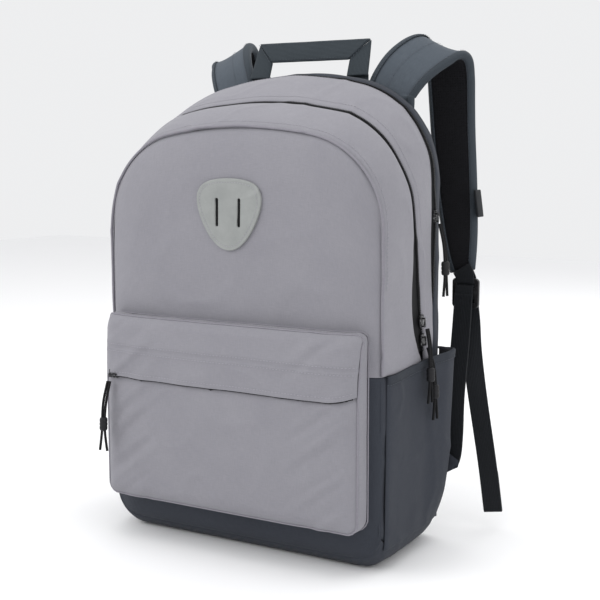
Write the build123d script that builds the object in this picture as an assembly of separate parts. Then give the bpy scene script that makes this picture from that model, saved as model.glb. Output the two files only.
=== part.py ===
from build123d import *
import math
import os

# A daypack with a zipped main mouth, a zipped laptop compartment, a front pocket, two side
# pockets, a carry handle and two padded shoulder straps. Millimetres, +Z up, the front faces -Y,
# +X is the right-hand side seen from the front. The origin is the centre of the base.

# ---- driving dimensions: the bag ----
bag_half = 152.0  # half width at the front seam
rear_taper = 3.0  # how much narrower each side is at the back panel
bag_height = 460.0  # at the back panel
front_drop = 54.0  # how much lower the front seam's top is
front_y = -65.5  # plane of the front seam
rear_y = 62.0  # plane where the gussets meet the back panel
wall = 2.4  # shell fabric with its padding and lining
base_corner = 26.0  # corner between the base and the sides
base_band = 24.0  # height of the base panel's turned-up edge
colour_line_z = 183.0  # top of the dark lower fabric
seam_gap = 0.6  # fabric gap either side of a moving seam
front_half = bag_half
rear_half = bag_half - rear_taper
front_height = bag_height - front_drop
rear_height = bag_height

# ---- front panel and main mouth ----
front_bulge = 14.5  # how far the filled front stands out of its seam
bulge_inset = 45.0
mouth_hinge_y = -82.0
mouth_hinge_z = 240.0
mouth_hinge_rise = 20.0  # how much the fold line climbs towards the zip

# ---- zips ----
zip_half_width = 5.0
zip_slot = 2.4
main_zip_foot_z = 196.0
laptop_zip_y = 40.0
laptop_zip_foot_z = 245.0

# ---- back panel and compartments ----
back_cover_thickness = 4.0
back_foam_thickness = 8.0
divider_thickness = 3.0
divider_y = 28.0
sleeve_thickness = 2.0
sleeve_clear = 5.0  # from the sleeve's rear face to the laptop zip's centre line
sleeve_y = laptop_zip_y - sleeve_clear - sleeve_thickness
sleeve_height = 300.0
pad_thickness = 6.0
pad_width = 92.0
pad_height = 310.0
pad_gap = 46.0  # air channel between the two back pads
pad_foot_z = 70.0

# ---- front pocket ----
pocket_margin = 8.0  # from the pocket's side to the front seam
pocket_half = bag_half - pocket_margin
pocket_foot_z = 42.0
pocket_top_z = 223.0
pocket_front_y = -96.0
pocket_corner = 26.0
pocket_top_corner = 12.0
pocket_wall = 2.4
pocket_zip_z = 165.0
pocket_zip_margin = 8.0
pocket_zip_half = pocket_half - pocket_zip_margin
flap_lap = 1.0  # how far the upper panel stands proud of the lower one

# ---- side pockets ----
side_pocket_front_y = -59.0
side_pocket_rear_y = 60.0
side_pocket_foot_z = 20.0
side_pocket_front_top_z = 182.0
side_pocket_rear_top_z = 193.0
side_pocket_front_x = bag_half + 4.5
side_pocket_mouth_x = bag_half + 6.5  # where the panel starts to stand off the bag's side
side_pocket_mouth_y = 15.0
side_pocket_rear_x = bag_half + 17.0
side_pocket_overlap = 20.0  # how far the plan runs into the bag before it is cut off
side_pocket_wall = 2.0
side_pocket_hem = 8.0

# ---- lash patch ----
patch_half = 39.5
patch_top_z = 358.0
patch_foot_z = 292.0
patch_thickness = 2.2
patch_slot_width = 3.0
patch_slot_length = 29.0
patch_slot_x = 12.5

# ---- carry handle ----
handle_pivot_y = 64.0
handle_pivot_z = bag_height + 1.5
handle_outer_foot = 70.0
handle_inner_foot = 45.0
handle_outer_top = 66.0
handle_band = 23.0
handle_rise = 36.0
handle_layer = 1.6
handle_lean = 22.0

# ---- shoulder straps ----
strap_pivot_y = 70.0
strap_pivot_z = bag_height - 8.0
strap_foam = 9.0
strap_lining = 1.6
strap_lining_gap = 0.4  # stitch slack between the foam pad and its mesh face
# centre line of the right strap: x from the bag's side, y from the rear seam, z from the strap's
# seam, width, and its roll in degrees with the outer edge down
strap_stations = [
    (-57, 9.5, -9, 52, 27),
    (-46, 18, 12, 54, 29),
    (-34, 34, 27, 55, 28),
    (-26, 51, 33, 55, 25),
    (-21.5, 65, 27, 54, 19),
    (-22, 73.5, 8, 52, 10),
    (-21.5, 76, -18, 50, 3),
    (-19, 75, -52, 48, 0),
    (-13, 71, -102, 45, 0),
    (-5, 64, -152, 38, 0),
    (2, 56, -190, 27, 0),
]
webbing_width = 20.0
webbing_thickness = 1.8
lock_x = rear_half + 8.0
lock_y = rear_y + 51.0
lock_top_z = strap_pivot_z - 196.0
lock_width = 28.0
lock_height = 30.0
lock_bar = 4.6
lock_slot = 5.2
lock_thickness = 4.4
tail_foot_z = 16.0
wing_tip_x = rear_half + 23.0
wing_z = 76.0
wing_height = 46.0

# ---- zip pulls ----
cord_diameter = 2.6
strand_gap = 0.5  # clear space between the two strands of a pull

os.makedirs("parts", exist_ok=True)


def save(shape, name):
    solids = shape.solids()
    shape = solids[0] if len(solids) == 1 else Compound(children=list(solids))
    export_step(shape, f"parts/{name}.step")


def block(x0, x1, y0, y1, z0, z1):
    return Pos((x0 + x1) / 2, (y0 + y1) / 2, (z0 + z1) / 2) * Box(x1 - x0, y1 - y0, z1 - z0)


def side_prism(points, x0, x1):
    """A prism whose outline is drawn in the side view as (y, z) points."""
    face = Plane(origin=(x0, 0, 0), x_dir=(0, 1, 0), z_dir=(1, 0, 0)) * Polygon(*points, align=None)
    return extrude(face, amount=x1 - x0, dir=(1, 0, 0))


def front_plane(y):
    return Plane(origin=(0, y, 0), x_dir=(1, 0, 0), z_dir=(0, -1, 0))


def arch_face(y, half, top, floor, crown, corner, base):
    """The bag's section across Y: a flat base, straight sides and a three-centred top."""
    centre = top - crown
    corner_z = centre + math.sqrt((crown - corner) ** 2 - (half - corner) ** 2)
    lean = math.atan2(corner_z - centre, half - corner)
    spring = (crown * math.cos(lean), centre + crown * math.sin(lean))
    bend = (half - corner + corner * math.cos(lean / 2), corner_z + corner * math.sin(lean / 2))
    nook = base * (1 - math.sqrt(0.5))
    outline = [
        Line((base - half, floor), (half - base, floor)),
        ThreePointArc((half - base, floor), (half - nook, floor + nook), (half, floor + base)),
        Line((half, floor + base), (half, corner_z)),
        ThreePointArc((half, corner_z), bend, spring),
        ThreePointArc(spring, (0, top), (-spring[0], spring[1])),
        ThreePointArc((-spring[0], spring[1]), (-bend[0], bend[1]), (-half, corner_z)),
        Line((-half, corner_z), (-half, floor + base)),
        ThreePointArc((-half, floor + base), (nook - half, floor + nook), (base - half, floor)),
    ]
    return front_plane(y) * make_face(outline)


# y, half width, height, floor, crown radius, top corner radius
bag_stations = [
    (front_y, front_half, front_height, 10.0, 435.0, 88.0),
    (-50.0, front_half + 1.5, front_height + 10.0, 0.0, 420.0, 89.0),
    (-20.0, front_half + 3.0, front_height + 26.0, 0.0, 395.0, 91.0),
    (laptop_zip_y, rear_half + 4.0, rear_height - 2.0, 0.0, 340.0, 98.0),
    (rear_y, rear_half, rear_height, 0.0, 330.0, 100.0),
]


def bag_envelope(inset):
    """The whole bag without its front bulge, drawn in by inset, with open ends left square."""
    sections = []
    for y, half, top, floor, crown, corner in bag_stations:
        sections.append(arch_face(
            y, half - inset, top - inset, floor + inset, crown - inset, corner - inset,
            base_corner - inset,
        ))
    return loft(sections, ruled=True)


envelope = bag_envelope(0)
cavity = bag_envelope(wall)
ring = envelope - cavity
reach = 400.0  # further than any point of the bag

# ---- the main zip's line in the side view, from its foot on the side to the top ----
zip_line = [(14.2, main_zip_foot_z), (-6.0, 333.0), (-20.0, 385.0), (-20.0, rear_height + 40.0)]


def zip_y(z):
    for (y0, z0), (y1, z1) in zip(zip_line, zip_line[1:]):
        if z <= z1:
            return y0 + (y1 - y0) * (z - z0) / (z1 - z0)
    return zip_line[-1][0]


def zip_band(low, high, foot=None):
    """The strip of the side view between two offsets from the zip's line."""
    line = list(zip_line)
    if foot is not None:
        line = [(zip_y(foot), foot)] + [p for p in zip_line if p[1] > foot]
    points = [(y + low, z) for y, z in line] + [(y + high, z) for y, z in reversed(line)]
    return side_prism(points, -reach, reach)


zip_inner = zip_slot / 2
zip_outer = zip_inner + zip_half_width
hinge_end_z = mouth_hinge_z + mouth_hinge_rise


def mouth_side(gap):
    """Everything in front of the main zip and above the fold line of the mouth."""
    end_y = zip_y(hinge_end_z)
    points = [
        (-120.0, mouth_hinge_z + gap),
        (mouth_hinge_y, mouth_hinge_z + gap),
        (end_y + 20.0, hinge_end_z + gap + 20.0 * mouth_hinge_rise / (end_y - mouth_hinge_y)),
        (end_y + 20.0, rear_height + 40.0),
        (-120.0, rear_height + 40.0),
    ]
    return side_prism(points, -reach, reach)


mouth = mouth_side(seam_gap)
below_mouth = block(-reach, reach, -120, 120, -1, rear_height + 40) - mouth_side(-seam_gap)

# ---- lower shell ----
upper_zone = block(-reach, reach, -reach, reach, colour_line_z, reach + 200)
lower_zone = block(-reach, reach, -reach, reach, base_band, colour_line_z)
left_side = block(-reach, 0, -reach, reach, -1, reach + 200)
right_side = block(0, reach, -reach, reach, -1, reach + 200)
sides = {"left": left_side, "right": right_side}

save(ring & block(-reach, reach, -reach, reach, -1, base_band), "base_panel")
for name, half_space in sides.items():
    save(ring & lower_zone & half_space, f"side_lower_{name}")

# ---- gussets round the arch ----
in_front_of_zip = side_prism(
    [(-reach, colour_line_z)]
    + [(zip_y(z) - zip_outer, z) for z in (main_zip_foot_z, 333.0, 385.0, rear_height + 40)]
    + [(-reach, rear_height + 40)],
    -reach, reach,
)
zip_foot_patch = side_prism(
    [
        (front_y - 10, colour_line_z),
        (zip_line[0][0] + zip_outer, colour_line_z),
        (zip_line[0][0] + zip_outer, main_zip_foot_z),
        (zip_line[0][0] - zip_outer, main_zip_foot_z),
        (zip_y(333.0) - zip_outer, 333.0),
        (front_y - 10, 333.0),
    ],
    -reach, reach,
)
save(ring & zip_foot_patch & below_mouth, "front_gusset_lower")
save(ring & in_front_of_zip & mouth, "lid_gusset")

laptop_zip_reach = zip_inner + zip_half_width
laptop_front_y = laptop_zip_y - laptop_zip_reach
laptop_rear_y = laptop_zip_y + laptop_zip_reach
rear_gusset_zone = side_prism(
    [
        (zip_line[0][0] + zip_outer, colour_line_z),
        (zip_line[0][0] + zip_outer, main_zip_foot_z),
        (zip_y(333.0) + zip_outer, 333.0),
        (zip_y(385.0) + zip_outer, 385.0),
        (zip_y(385.0) + zip_outer, rear_height + 40),
        (laptop_front_y, rear_height + 40),
        (laptop_front_y, colour_line_z),
    ],
    -reach, reach,
)
save(ring & rear_gusset_zone, "rear_gusset")
laptop_gusset_zone = side_prism(
    [
        (laptop_front_y, colour_line_z),
        (laptop_front_y, laptop_zip_foot_z),
        (laptop_rear_y, laptop_zip_foot_z),
        (laptop_rear_y, rear_height + 40),
        (rear_y + 1, rear_height + 40),
        (rear_y + 1, colour_line_z),
    ],
    -reach, reach,
)
save(ring & laptop_gusset_zone, "laptop_gusset")

# ---- zip chains ----
front_chain = ring & zip_band(-zip_outer, -zip_inner)
save(front_chain & mouth, "main_zip_lid_half")
body_chain = list((ring & zip_band(zip_inner, zip_outer)).solids())
body_chain += list((front_chain & below_mouth).solids())
save(Compound(children=body_chain), "main_zip_body_half")
laptop_zone = block(-reach, reach, laptop_front_y, laptop_rear_y, laptop_zip_foot_z, reach + 200)
laptop_slot = block(
    -reach, reach, laptop_zip_y - zip_inner, laptop_zip_y + zip_inner,
    laptop_zip_foot_z, reach + 200,
)
save((ring & laptop_zone) - laptop_slot, "laptop_zip")

# ---- front panel ----
front_rim = arch_face(*bag_stations[0], base_corner)
front_face = arch_face(
    front_y - front_bulge, front_half - bulge_inset, front_height - bulge_inset,
    10.0 + bulge_inset, 390.0, 60.0, 16.0,
)
front_solid = loft([front_rim, front_face], ruled=True)
front_skin = front_solid - (Pos(0, wall, 0) * front_solid)
save(front_skin & below_mouth, "front_panel_lower")
save(front_skin & mouth, "lid_panel")

# ---- lash patch: a rounded triangle with two slots ----
patch_height = patch_top_z - patch_foot_z
patch_y = front_y - front_bulge
patch_round = 18.0
patch_disc_z = patch_top_z - patch_round
patch_outline = make_hull(
    (
        Pos(-patch_half + patch_round, patch_disc_z) * Circle(patch_round)
        + Pos(patch_half - patch_round, patch_disc_z) * Circle(patch_round)
        + Pos(0, patch_foot_z + patch_round) * Circle(patch_round)
    ).edges()
)
patch = extrude(front_plane(patch_y) * patch_outline, amount=patch_thickness, dir=(0, -1, 0))
patch_mid_z = (patch_top_z + patch_foot_z) / 2 + 2
for x in (-patch_slot_x, patch_slot_x):
    patch -= block(
        x - patch_slot_width / 2, x + patch_slot_width / 2, patch_y - 5, patch_y + 5,
        patch_mid_z - patch_slot_length / 2, patch_mid_z + patch_slot_length / 2,
    )
save(patch, "lash_patch")

# ---- back panel, compartments ----
rear_outline = arch_face(*bag_stations[-1], base_corner)
back_y = rear_y + back_cover_thickness
save(extrude(rear_outline, amount=back_cover_thickness, dir=(0, 1, 0)), "back_panel_cover")
foam_front_y = rear_y - back_foam_thickness
save(cavity & block(-reach, reach, foam_front_y, rear_y, -1, reach + 200), "back_panel_foam")
save(
    cavity & block(-reach, reach, divider_y, divider_y + divider_thickness, -1, reach + 200),
    "compartment_divider",
)
save(
    cavity & block(-reach, reach, sleeve_y, sleeve_y + sleeve_thickness, -1, sleeve_height),
    "laptop_sleeve",
)
for name, sign in (("left", -1), ("right", 1)):
    centre_x = sign * (pad_gap + pad_width) / 2
    pad = Pos(centre_x, back_y + pad_thickness / 2, pad_foot_z + pad_height / 2) * Box(
        pad_width, pad_thickness, pad_height
    )
    pad = fillet(pad.edges().filter_by(Axis.Y), 20)
    pad = chamfer(pad.faces().sort_by(Axis.Y)[-1].edges(), 3)
    save(pad, f"back_pad_{name}")

# ---- front pocket ----
pocket_depth = -pocket_front_y + front_y


def pocket_block(inset):
    half = pocket_half - inset
    foot = pocket_foot_z + inset
    top = pocket_top_z - inset
    corner = pocket_corner - inset
    high = pocket_top_corner - inset
    nook = corner * (1 - math.sqrt(0.5))
    high_nook = high * (1 - math.sqrt(0.5))
    outline = [
        Line((corner - half, foot), (half - corner, foot)),
        ThreePointArc((half - corner, foot), (half - nook, foot + nook), (half, foot + corner)),
        Line((half, foot + corner), (half, top - high)),
        ThreePointArc((half, top - high), (half - high_nook, top - high_nook), (half - high, top)),
        Line((half - high, top), (high - half, top)),
        ThreePointArc((high - half, top), (high_nook - half, top - high_nook), (-half, top - high)),
        Line((-half, top - high), (-half, foot + corner)),
        ThreePointArc((-half, foot + corner), (nook - half, foot + nook), (corner - half, foot)),
    ]
    face = front_plane(front_y) * make_face(outline)
    return extrude(face, amount=pocket_depth - inset, dir=(0, -1, 0))


pocket_shell = pocket_block(0) - pocket_block(pocket_wall)
pocket_shell -= front_solid
face_zone = block(
    -reach, reach, pocket_front_y - 5, pocket_front_y + pocket_wall, -1, reach,
)
pocket_face = pocket_shell & face_zone
save(pocket_shell - face_zone, "front_pocket_gusset")
chain_low = pocket_zip_z - zip_outer
chain_high = pocket_zip_z + zip_outer
chain_zone = block(-pocket_zip_half, pocket_zip_half, -reach, 0, chain_low, chain_high)
chain_slot = block(
    -pocket_zip_half, pocket_zip_half, -reach, 0,
    pocket_zip_z - zip_inner, pocket_zip_z + zip_inner,
)
save((pocket_face & chain_zone) - chain_slot, "front_pocket_zip")
lower_face = (pocket_face & block(-reach, reach, -reach, 0, -1, pocket_zip_z)) - chain_zone
save(lower_face, "front_pocket_panel")
upper_face = (pocket_face & block(-reach, reach, -reach, 0, pocket_zip_z, reach)) - chain_zone
hem = block(
    -pocket_half + pocket_top_corner, pocket_half - pocket_top_corner,
    pocket_front_y - flap_lap, pocket_front_y, chain_high, pocket_top_z - pocket_top_corner,
)
save(upper_face + hem, "front_pocket_upper_panel")

# ---- side pockets ----


def side_pocket_plan(inset):
    """Plan view of the right pocket: shallow at its front seam, deep at the rear."""
    points = [
        (bag_half - side_pocket_overlap, side_pocket_front_y + inset),
        (side_pocket_front_x - inset, side_pocket_front_y + inset),
        (side_pocket_mouth_x - inset, side_pocket_mouth_y),
        (side_pocket_rear_x - inset, side_pocket_rear_y - 14),
        (side_pocket_rear_x - inset, side_pocket_rear_y - 5),
        (side_pocket_rear_x - inset - 5, side_pocket_rear_y - inset),
        (bag_half - side_pocket_overlap, side_pocket_rear_y - inset),
    ]
    return Polygon(*points, align=None)


def side_pocket_body(inset, foot, head):
    return extrude(Pos(0, 0, foot) * side_pocket_plan(inset), amount=head - foot, dir=(0, 0, 1))


pocket_reach_z = side_pocket_rear_top_z + 20
pocket_outer = side_pocket_body(0, side_pocket_foot_z, pocket_reach_z)
pocket_inner = side_pocket_body(
    side_pocket_wall, side_pocket_foot_z + side_pocket_wall, pocket_reach_z + 1,
)


def under_slant(drop):
    """The side view below the slanted mouth of a side pocket."""
    slope = (side_pocket_rear_top_z - side_pocket_front_top_z) / (
        side_pocket_rear_y - side_pocket_front_y
    )
    points = [
        (-100, 0),
        (-100, side_pocket_front_top_z - drop - slope * (100 + side_pocket_front_y)),
        (100, side_pocket_rear_top_z - drop + slope * (100 - side_pocket_rear_y)),
        (100, 0),
    ]
    return side_prism(points, 0, reach)


side_pocket = (pocket_outer - pocket_inner - envelope) & under_slant(0)
side_pocket_panel = side_pocket & under_slant(side_pocket_hem)
side_pocket_hem_band = side_pocket - under_slant(side_pocket_hem)
save(side_pocket_panel, "side_pocket_right")
save(mirror(side_pocket_panel, about=Plane.YZ), "side_pocket_left")
save(side_pocket_hem_band, "side_pocket_hem_right")
save(mirror(side_pocket_hem_band, about=Plane.YZ), "side_pocket_hem_left")

# ---- carry handle: a band folded square at both ends, leaning back on its seam ----
handle_plane = Plane(
    origin=(0, handle_pivot_y, handle_pivot_z), x_dir=(1, 0, 0), z_dir=(0, -1, 0)
).rotated((-handle_lean, 0, 0))
handle_outline = Polygon(
    (-handle_outer_foot, 1.0), (-handle_outer_top, handle_rise), (handle_outer_top, handle_rise),
    (handle_outer_foot, 1.0), (handle_inner_foot, 1.0),
    (handle_inner_foot, handle_rise - handle_band), (-handle_inner_foot, handle_rise - handle_band),
    (-handle_inner_foot, 1.0), align=None,
)
handle_face = handle_plane * handle_outline
handle_out = handle_plane.z_dir
save(extrude(handle_face, amount=handle_layer, dir=handle_out), "carry_handle_face")
save(extrude(handle_face, amount=handle_layer, dir=-handle_out), "carry_handle_backing")
anchor_z = handle_pivot_z - 6.0
handle_anchors = []
for sign in (-1, 1):
    x0, x1 = sorted((sign * handle_inner_foot, sign * (handle_outer_foot - 1)))
    handle_anchors.append(block(x0, x1, back_y, back_y + 2.0, anchor_z - 26, anchor_z))
save(Compound(children=handle_anchors), "handle_anchors")

# ---- shoulder straps ----


def strap_frames():
    """Each station of the right strap: its centre, across direction, outward direction, width."""
    root = Vector(rear_half, rear_y, strap_pivot_z)
    centres = [root + Vector(x, y, z) for x, y, z, _, _ in strap_stations]
    frames = []
    for index, (*_, width, roll) in enumerate(strap_stations):
        before = centres[max(index - 1, 0)]
        after = centres[min(index + 1, len(centres) - 1)]
        run = (after - before).normalized()
        level = Vector(1, 0, 0).rotate(Axis.Y, roll)
        across = (level - run * level.dot(run)).normalized()
        outward = across.cross(run).normalized()
        frames.append((centres[index], across, outward, width, run))
    return frames


def band(frames, low, high, extra=0.0):
    """A ruled band along frames: low and high are offsets outward from the centre line."""
    sections = []
    for centre, across, outward, width, run in frames:
        origin = centre + outward * ((low + high) / 2)
        plane = Plane(origin=origin, x_dir=across, z_dir=run)
        sections.append(plane * Rectangle(width + extra, high - low))
    spans = [loft(pair, ruled=True) for pair in zip(sections, sections[1:])]
    return spans[0].fuse(*spans[1:]) if len(spans) > 1 else spans[0]


strap_line = strap_frames()
outer_side = strap_foam / 2
strap_pad = band(strap_line, -outer_side, outer_side)
mesh_side = outer_side + strap_lining_gap
strap_mesh = band(strap_line, -mesh_side - strap_lining, -mesh_side, extra=-3.0)


def webbing(points, width=webbing_width, thickness=webbing_thickness):
    """A flat band through x, y, z points, its width lying along X."""
    centres = [Vector(*point) for point in points]
    frames = []
    for index, centre in enumerate(centres):
        before = centres[max(index - 1, 0)]
        after = centres[min(index + 1, len(centres) - 1)]
        run = (after - before).normalized()
        across = (Vector(1, 0, 0) - run * run.X).normalized()
        frames.append((centre, across, across.cross(run).normalized(), width, run))
    return band(frames, -thickness / 2, thickness / 2)


lock_foot_z = lock_top_z - lock_height
lock_middle_z = lock_top_z - lock_height / 2
webbing_foot_z = wing_z + 8
# the load webbing's points: x from the lock, y from the lock, share of the way up to the lock
load_route = [(0, -6.5, 1.0), (0, -13, 0.675), (1, -25, 0.357), (5, -36, 0.127), (7, -40.5, 0.0)]
load_webbing = webbing([
    (lock_x + x, lock_y + y, webbing_foot_z + share * (lock_middle_z - webbing_foot_z))
    for x, y, share in load_route
])
strap_end, _, _, _, end_run = strap_line[-1]
strap_keeper = webbing([
    tuple(strap_end + end_run * 0.8),
    tuple(strap_end + end_run * 3.6),
])
strap_loop = Box(webbing_thickness * 2, 15, 28)
strap_loop = Pos(rear_half + 14.5, rear_y + 65.5, strap_pivot_z - 121) * Rot(0, -8, 0) * strap_loop

# ladder lock: a frame with two slots, hanging from the strap's end
lock_blank = block(
    lock_x - lock_width / 2, lock_x + lock_width / 2,
    lock_y - lock_thickness / 2, lock_y + lock_thickness / 2, lock_foot_z, lock_top_z,
)
lock_blank = fillet(lock_blank.edges().filter_by(Axis.Y), 4.0)
slot_half = lock_width / 2 - 4.0
upper_slot_z = lock_top_z - lock_bar - lock_slot
lower_slot_z = lock_foot_z + lock_bar
for slot_z in (upper_slot_z, lower_slot_z):
    lock_blank -= block(
        lock_x - slot_half, lock_x + slot_half, lock_y - 10, lock_y + 10,
        slot_z, slot_z + lock_slot,
    )
tail_top_z = lock_foot_z + 6
# the tail's points: x and y from the lock, share of the way down to its foot
tail_route = [(2, 4.4, 0.0), (5, 6.5, 0.213), (13, 8, 0.491), (24, 7, 0.769), (32, 5.5, 1.0)]
strap_tail = webbing([
    (lock_x + x, lock_y + y, tail_top_z + share * (tail_foot_z - tail_top_z))
    for x, y, share in tail_route
])

# strap anchors, sewn to the back just below the straps' slanting ends
anchor_x = rear_half + strap_stations[0][0]
anchor_top_z = strap_pivot_z + strap_stations[0][2] - 3.0
anchor_foot_z = strap_pivot_z - 60
anchor_face = front_plane(back_y) * Polygon(
    (anchor_x - 20, anchor_foot_z), (anchor_x + 20, anchor_foot_z),
    (anchor_x + 23, anchor_top_z - 11.7), (anchor_x - 23, anchor_top_z + 11.7), align=None,
)
strap_anchor = extrude(anchor_face, amount=2.6, dir=(0, 1, 0))

# wings at the foot of the back panel
wing_face = front_plane(back_y) * Polygon(
    (rear_half - 9, wing_z + wing_height / 2), (rear_half - 9, wing_z - wing_height / 2),
    (wing_tip_x, wing_z - 3), (wing_tip_x, wing_z + 3), align=None,
)
wing = extrude(wing_face, amount=2.6, dir=(0, 1, 0))

strap_pieces = {
    "strap_pad": strap_pad,
    "strap_mesh": strap_mesh,
    "strap_keeper": strap_keeper,
    "strap_side_loop": strap_loop,
    "load_webbing": load_webbing,
    "ladder_lock": lock_blank,
    "strap_tail": strap_tail,
    "strap_anchor": strap_anchor,
    "wing": wing,
}
for name, shape in strap_pieces.items():
    save(shape, f"{name}_right")
    save(mirror(shape, about=Plane.YZ), f"{name}_left")

# ---- zip sliders and their cord pulls ----
slider_length = 11.0
slider_width = 8.0
slider_plate = 1.6
slider_clear = 0.5  # from the tape's face to either plate
slider_post = 1.4
eye_height = 3.2


def slider(thickness):
    """A slider on a tape whose outer face is at x = 0, with its travel along Z."""
    outer = block(
        slider_clear, slider_clear + slider_plate, -slider_width / 2, slider_width / 2,
        -slider_length / 2, slider_length / 2,
    )
    inner = Pos(-thickness - 2 * slider_clear - slider_plate, 0, 0) * outer
    post = block(
        -thickness - slider_clear, slider_clear, -slider_post / 2, slider_post / 2,
        slider_length / 2 - 4.0, slider_length / 2,
    )
    top = slider_clear + slider_plate
    eye = block(top, top + eye_height, -1.2, 1.2, -slider_length / 2, slider_length / 2 - 2)
    eye -= block(top - 0.01, top + eye_height - 1.2, -2, 2, -slider_length / 2 + 1.4, slider_length / 2 - 3.4)
    return outer + inner + post + eye


def cord_tube(points, label):
    """A round cord: straight runs joined by arcs as large as the runs allow."""
    path_points = [Vector(*point) for point in points]
    radii = []
    for before, here, after in zip(path_points, path_points[1:], path_points[2:]):
        turn = math.radians((here - before).get_angle(after - here))
        shorter = min((here - before).length, (after - here).length)
        radii.append(0.45 * shorter / math.tan(turn / 2))
    path = FilletPolyline(*path_points, radius=radii)
    start = Plane(origin=path_points[0], z_dir=path_points[1] - path_points[0])
    tube = sweep(start * Circle(cord_diameter / 2), path=path)
    print(label, "length", round(path.length, 1), "radii", [round(r) for r in radii])
    return tube


# a pull's strand from the slider's eye: out from the face, aside from its twin, down, and the
# share of the pull's sideways drift reached there
strand_route = [
    (0.0, 1.55, 0.0, 0.0),
    (3.0, 1.7, -10.0, 0.3),
    (5.2, 1.75, -21.0, 0.75),
    (6.2, 1.6, -33.0, 1.0),
    (6.6, 1.55, -46.0, 1.08),
    (6.9, 2.6, -57.0, 1.1),
    (6.7, 4.6, -69.0, 1.2),
]
knot_top = -35.5
knot_foot = -49.0
knot_radius = 4.0


def pull_at(eye, out_direction, side_direction, drift):
    """Places a point of a pull: out from the bag, aside, down, with its share of the drift."""
    def place(out, side, down, share):
        point = Vector(*eye) + Vector(*out_direction) * out
        point += Vector(*side_direction) * (side + drift * share)
        return (point.X, point.Y, point.Z + down)

    return place


def knot_solid(place):
    """A barrel knot round both strands."""
    top = Vector(*place(strand_route[3][0], 0, knot_top, 1.0))
    foot = Vector(*place(strand_route[4][0], 0, knot_foot, 1.08))
    plane = Plane(origin=foot, z_dir=top - foot)
    barrel = extrude(plane * Circle(knot_radius), amount=(top - foot).length)
    return chamfer(barrel.edges(), 1.4)


def save_pull(label, eye, out_direction, side_direction, drift=0.0):
    place = pull_at(eye, out_direction, side_direction, drift)
    strands = []
    for sign in (-1, 1):
        route = [place(out, sign * side, down, share) for out, side, down, share in strand_route]
        strands.append(cord_tube(route, f"{label} strand {sign:+d}"))
    save(Compound(children=strands), f"{label}_cord")
    knot = knot_solid(place)
    for strand in strands:
        knot -= strand
    save(knot, f"{label}_knot")


def side_x(y):
    """The outer face of the bag's straight side at depth y."""
    for (y0, x0, *_), (y1, x1, *_) in zip(bag_stations, bag_stations[1:]):
        if y <= y1:
            return x0 + (x1 - x0) * (y - y0) / (y1 - y0)
    return bag_stations[-1][1]


eye_out = slider_clear + slider_plate + 1.0
zip_slope = math.degrees(math.atan2(zip_line[0][0] - zip_line[1][0], 333.0 - main_zip_foot_z))
eye_face = eye_out + 3.4  # from the tape's face to the strands' start
eye_drop = 7.0  # the strands start under the slider
pull_drift = {"main_slider_lower": 3.0, "main_slider_upper": -5.0}
slider_height = {"main_slider_lower": 207.0, "main_slider_upper": 225.0}
for name, height in slider_height.items():
    y = zip_y(height)
    x = max(side_x(y - 10), side_x(y + 10))
    save(Pos(x, y, height) * Rot(zip_slope, 0, 0) * slider(wall + 1.0), name)
    eye = (x + eye_face, y + 1.0, height - eye_drop)
    save_pull(name.replace("slider", "pull"), eye, (1, 0, 0), (0, 1, 0), pull_drift[name])

laptop_slider_z = 322.0
x = side_x(laptop_zip_y)
save(Pos(x, laptop_zip_y, laptop_slider_z) * slider(wall + 1.0), "laptop_slider")
save_pull(
    "laptop_pull", (x + eye_face, laptop_zip_y, laptop_slider_z - eye_drop), (1, 0, 0), (0, 1, 0)
)

pocket_slider_x = -pocket_zip_half + 8.0
along_pocket = Plane(
    origin=(pocket_slider_x, pocket_front_y, pocket_zip_z), x_dir=(0, -1, 0), z_dir=(-1, 0, 0)
)
save(along_pocket * slider(pocket_wall), "pocket_slider")
save_pull(
    "pocket_pull", (pocket_slider_x - 2.0, pocket_front_y - eye_face, pocket_zip_z - eye_drop),
    (0, -1, 0), (1, 0, 0), -2.5,
)
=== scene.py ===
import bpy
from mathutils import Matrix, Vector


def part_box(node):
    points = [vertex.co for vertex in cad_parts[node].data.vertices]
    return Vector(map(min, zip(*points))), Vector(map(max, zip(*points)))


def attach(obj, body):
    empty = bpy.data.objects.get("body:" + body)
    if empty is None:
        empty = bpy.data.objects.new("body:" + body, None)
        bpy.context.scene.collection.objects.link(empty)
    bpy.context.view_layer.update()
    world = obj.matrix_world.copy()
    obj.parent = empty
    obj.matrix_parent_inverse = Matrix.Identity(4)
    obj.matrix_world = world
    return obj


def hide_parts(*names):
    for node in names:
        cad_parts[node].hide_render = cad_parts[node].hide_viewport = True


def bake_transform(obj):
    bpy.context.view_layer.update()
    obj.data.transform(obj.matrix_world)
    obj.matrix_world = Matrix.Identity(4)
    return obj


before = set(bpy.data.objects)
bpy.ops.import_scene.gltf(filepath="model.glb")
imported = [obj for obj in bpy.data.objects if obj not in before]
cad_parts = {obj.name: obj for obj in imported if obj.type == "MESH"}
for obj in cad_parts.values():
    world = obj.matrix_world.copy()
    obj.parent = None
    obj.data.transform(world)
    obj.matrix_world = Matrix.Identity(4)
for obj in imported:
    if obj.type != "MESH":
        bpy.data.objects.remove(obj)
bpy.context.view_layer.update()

import math

import bmesh
import bpy
from mathutils import Vector, noise

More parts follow.
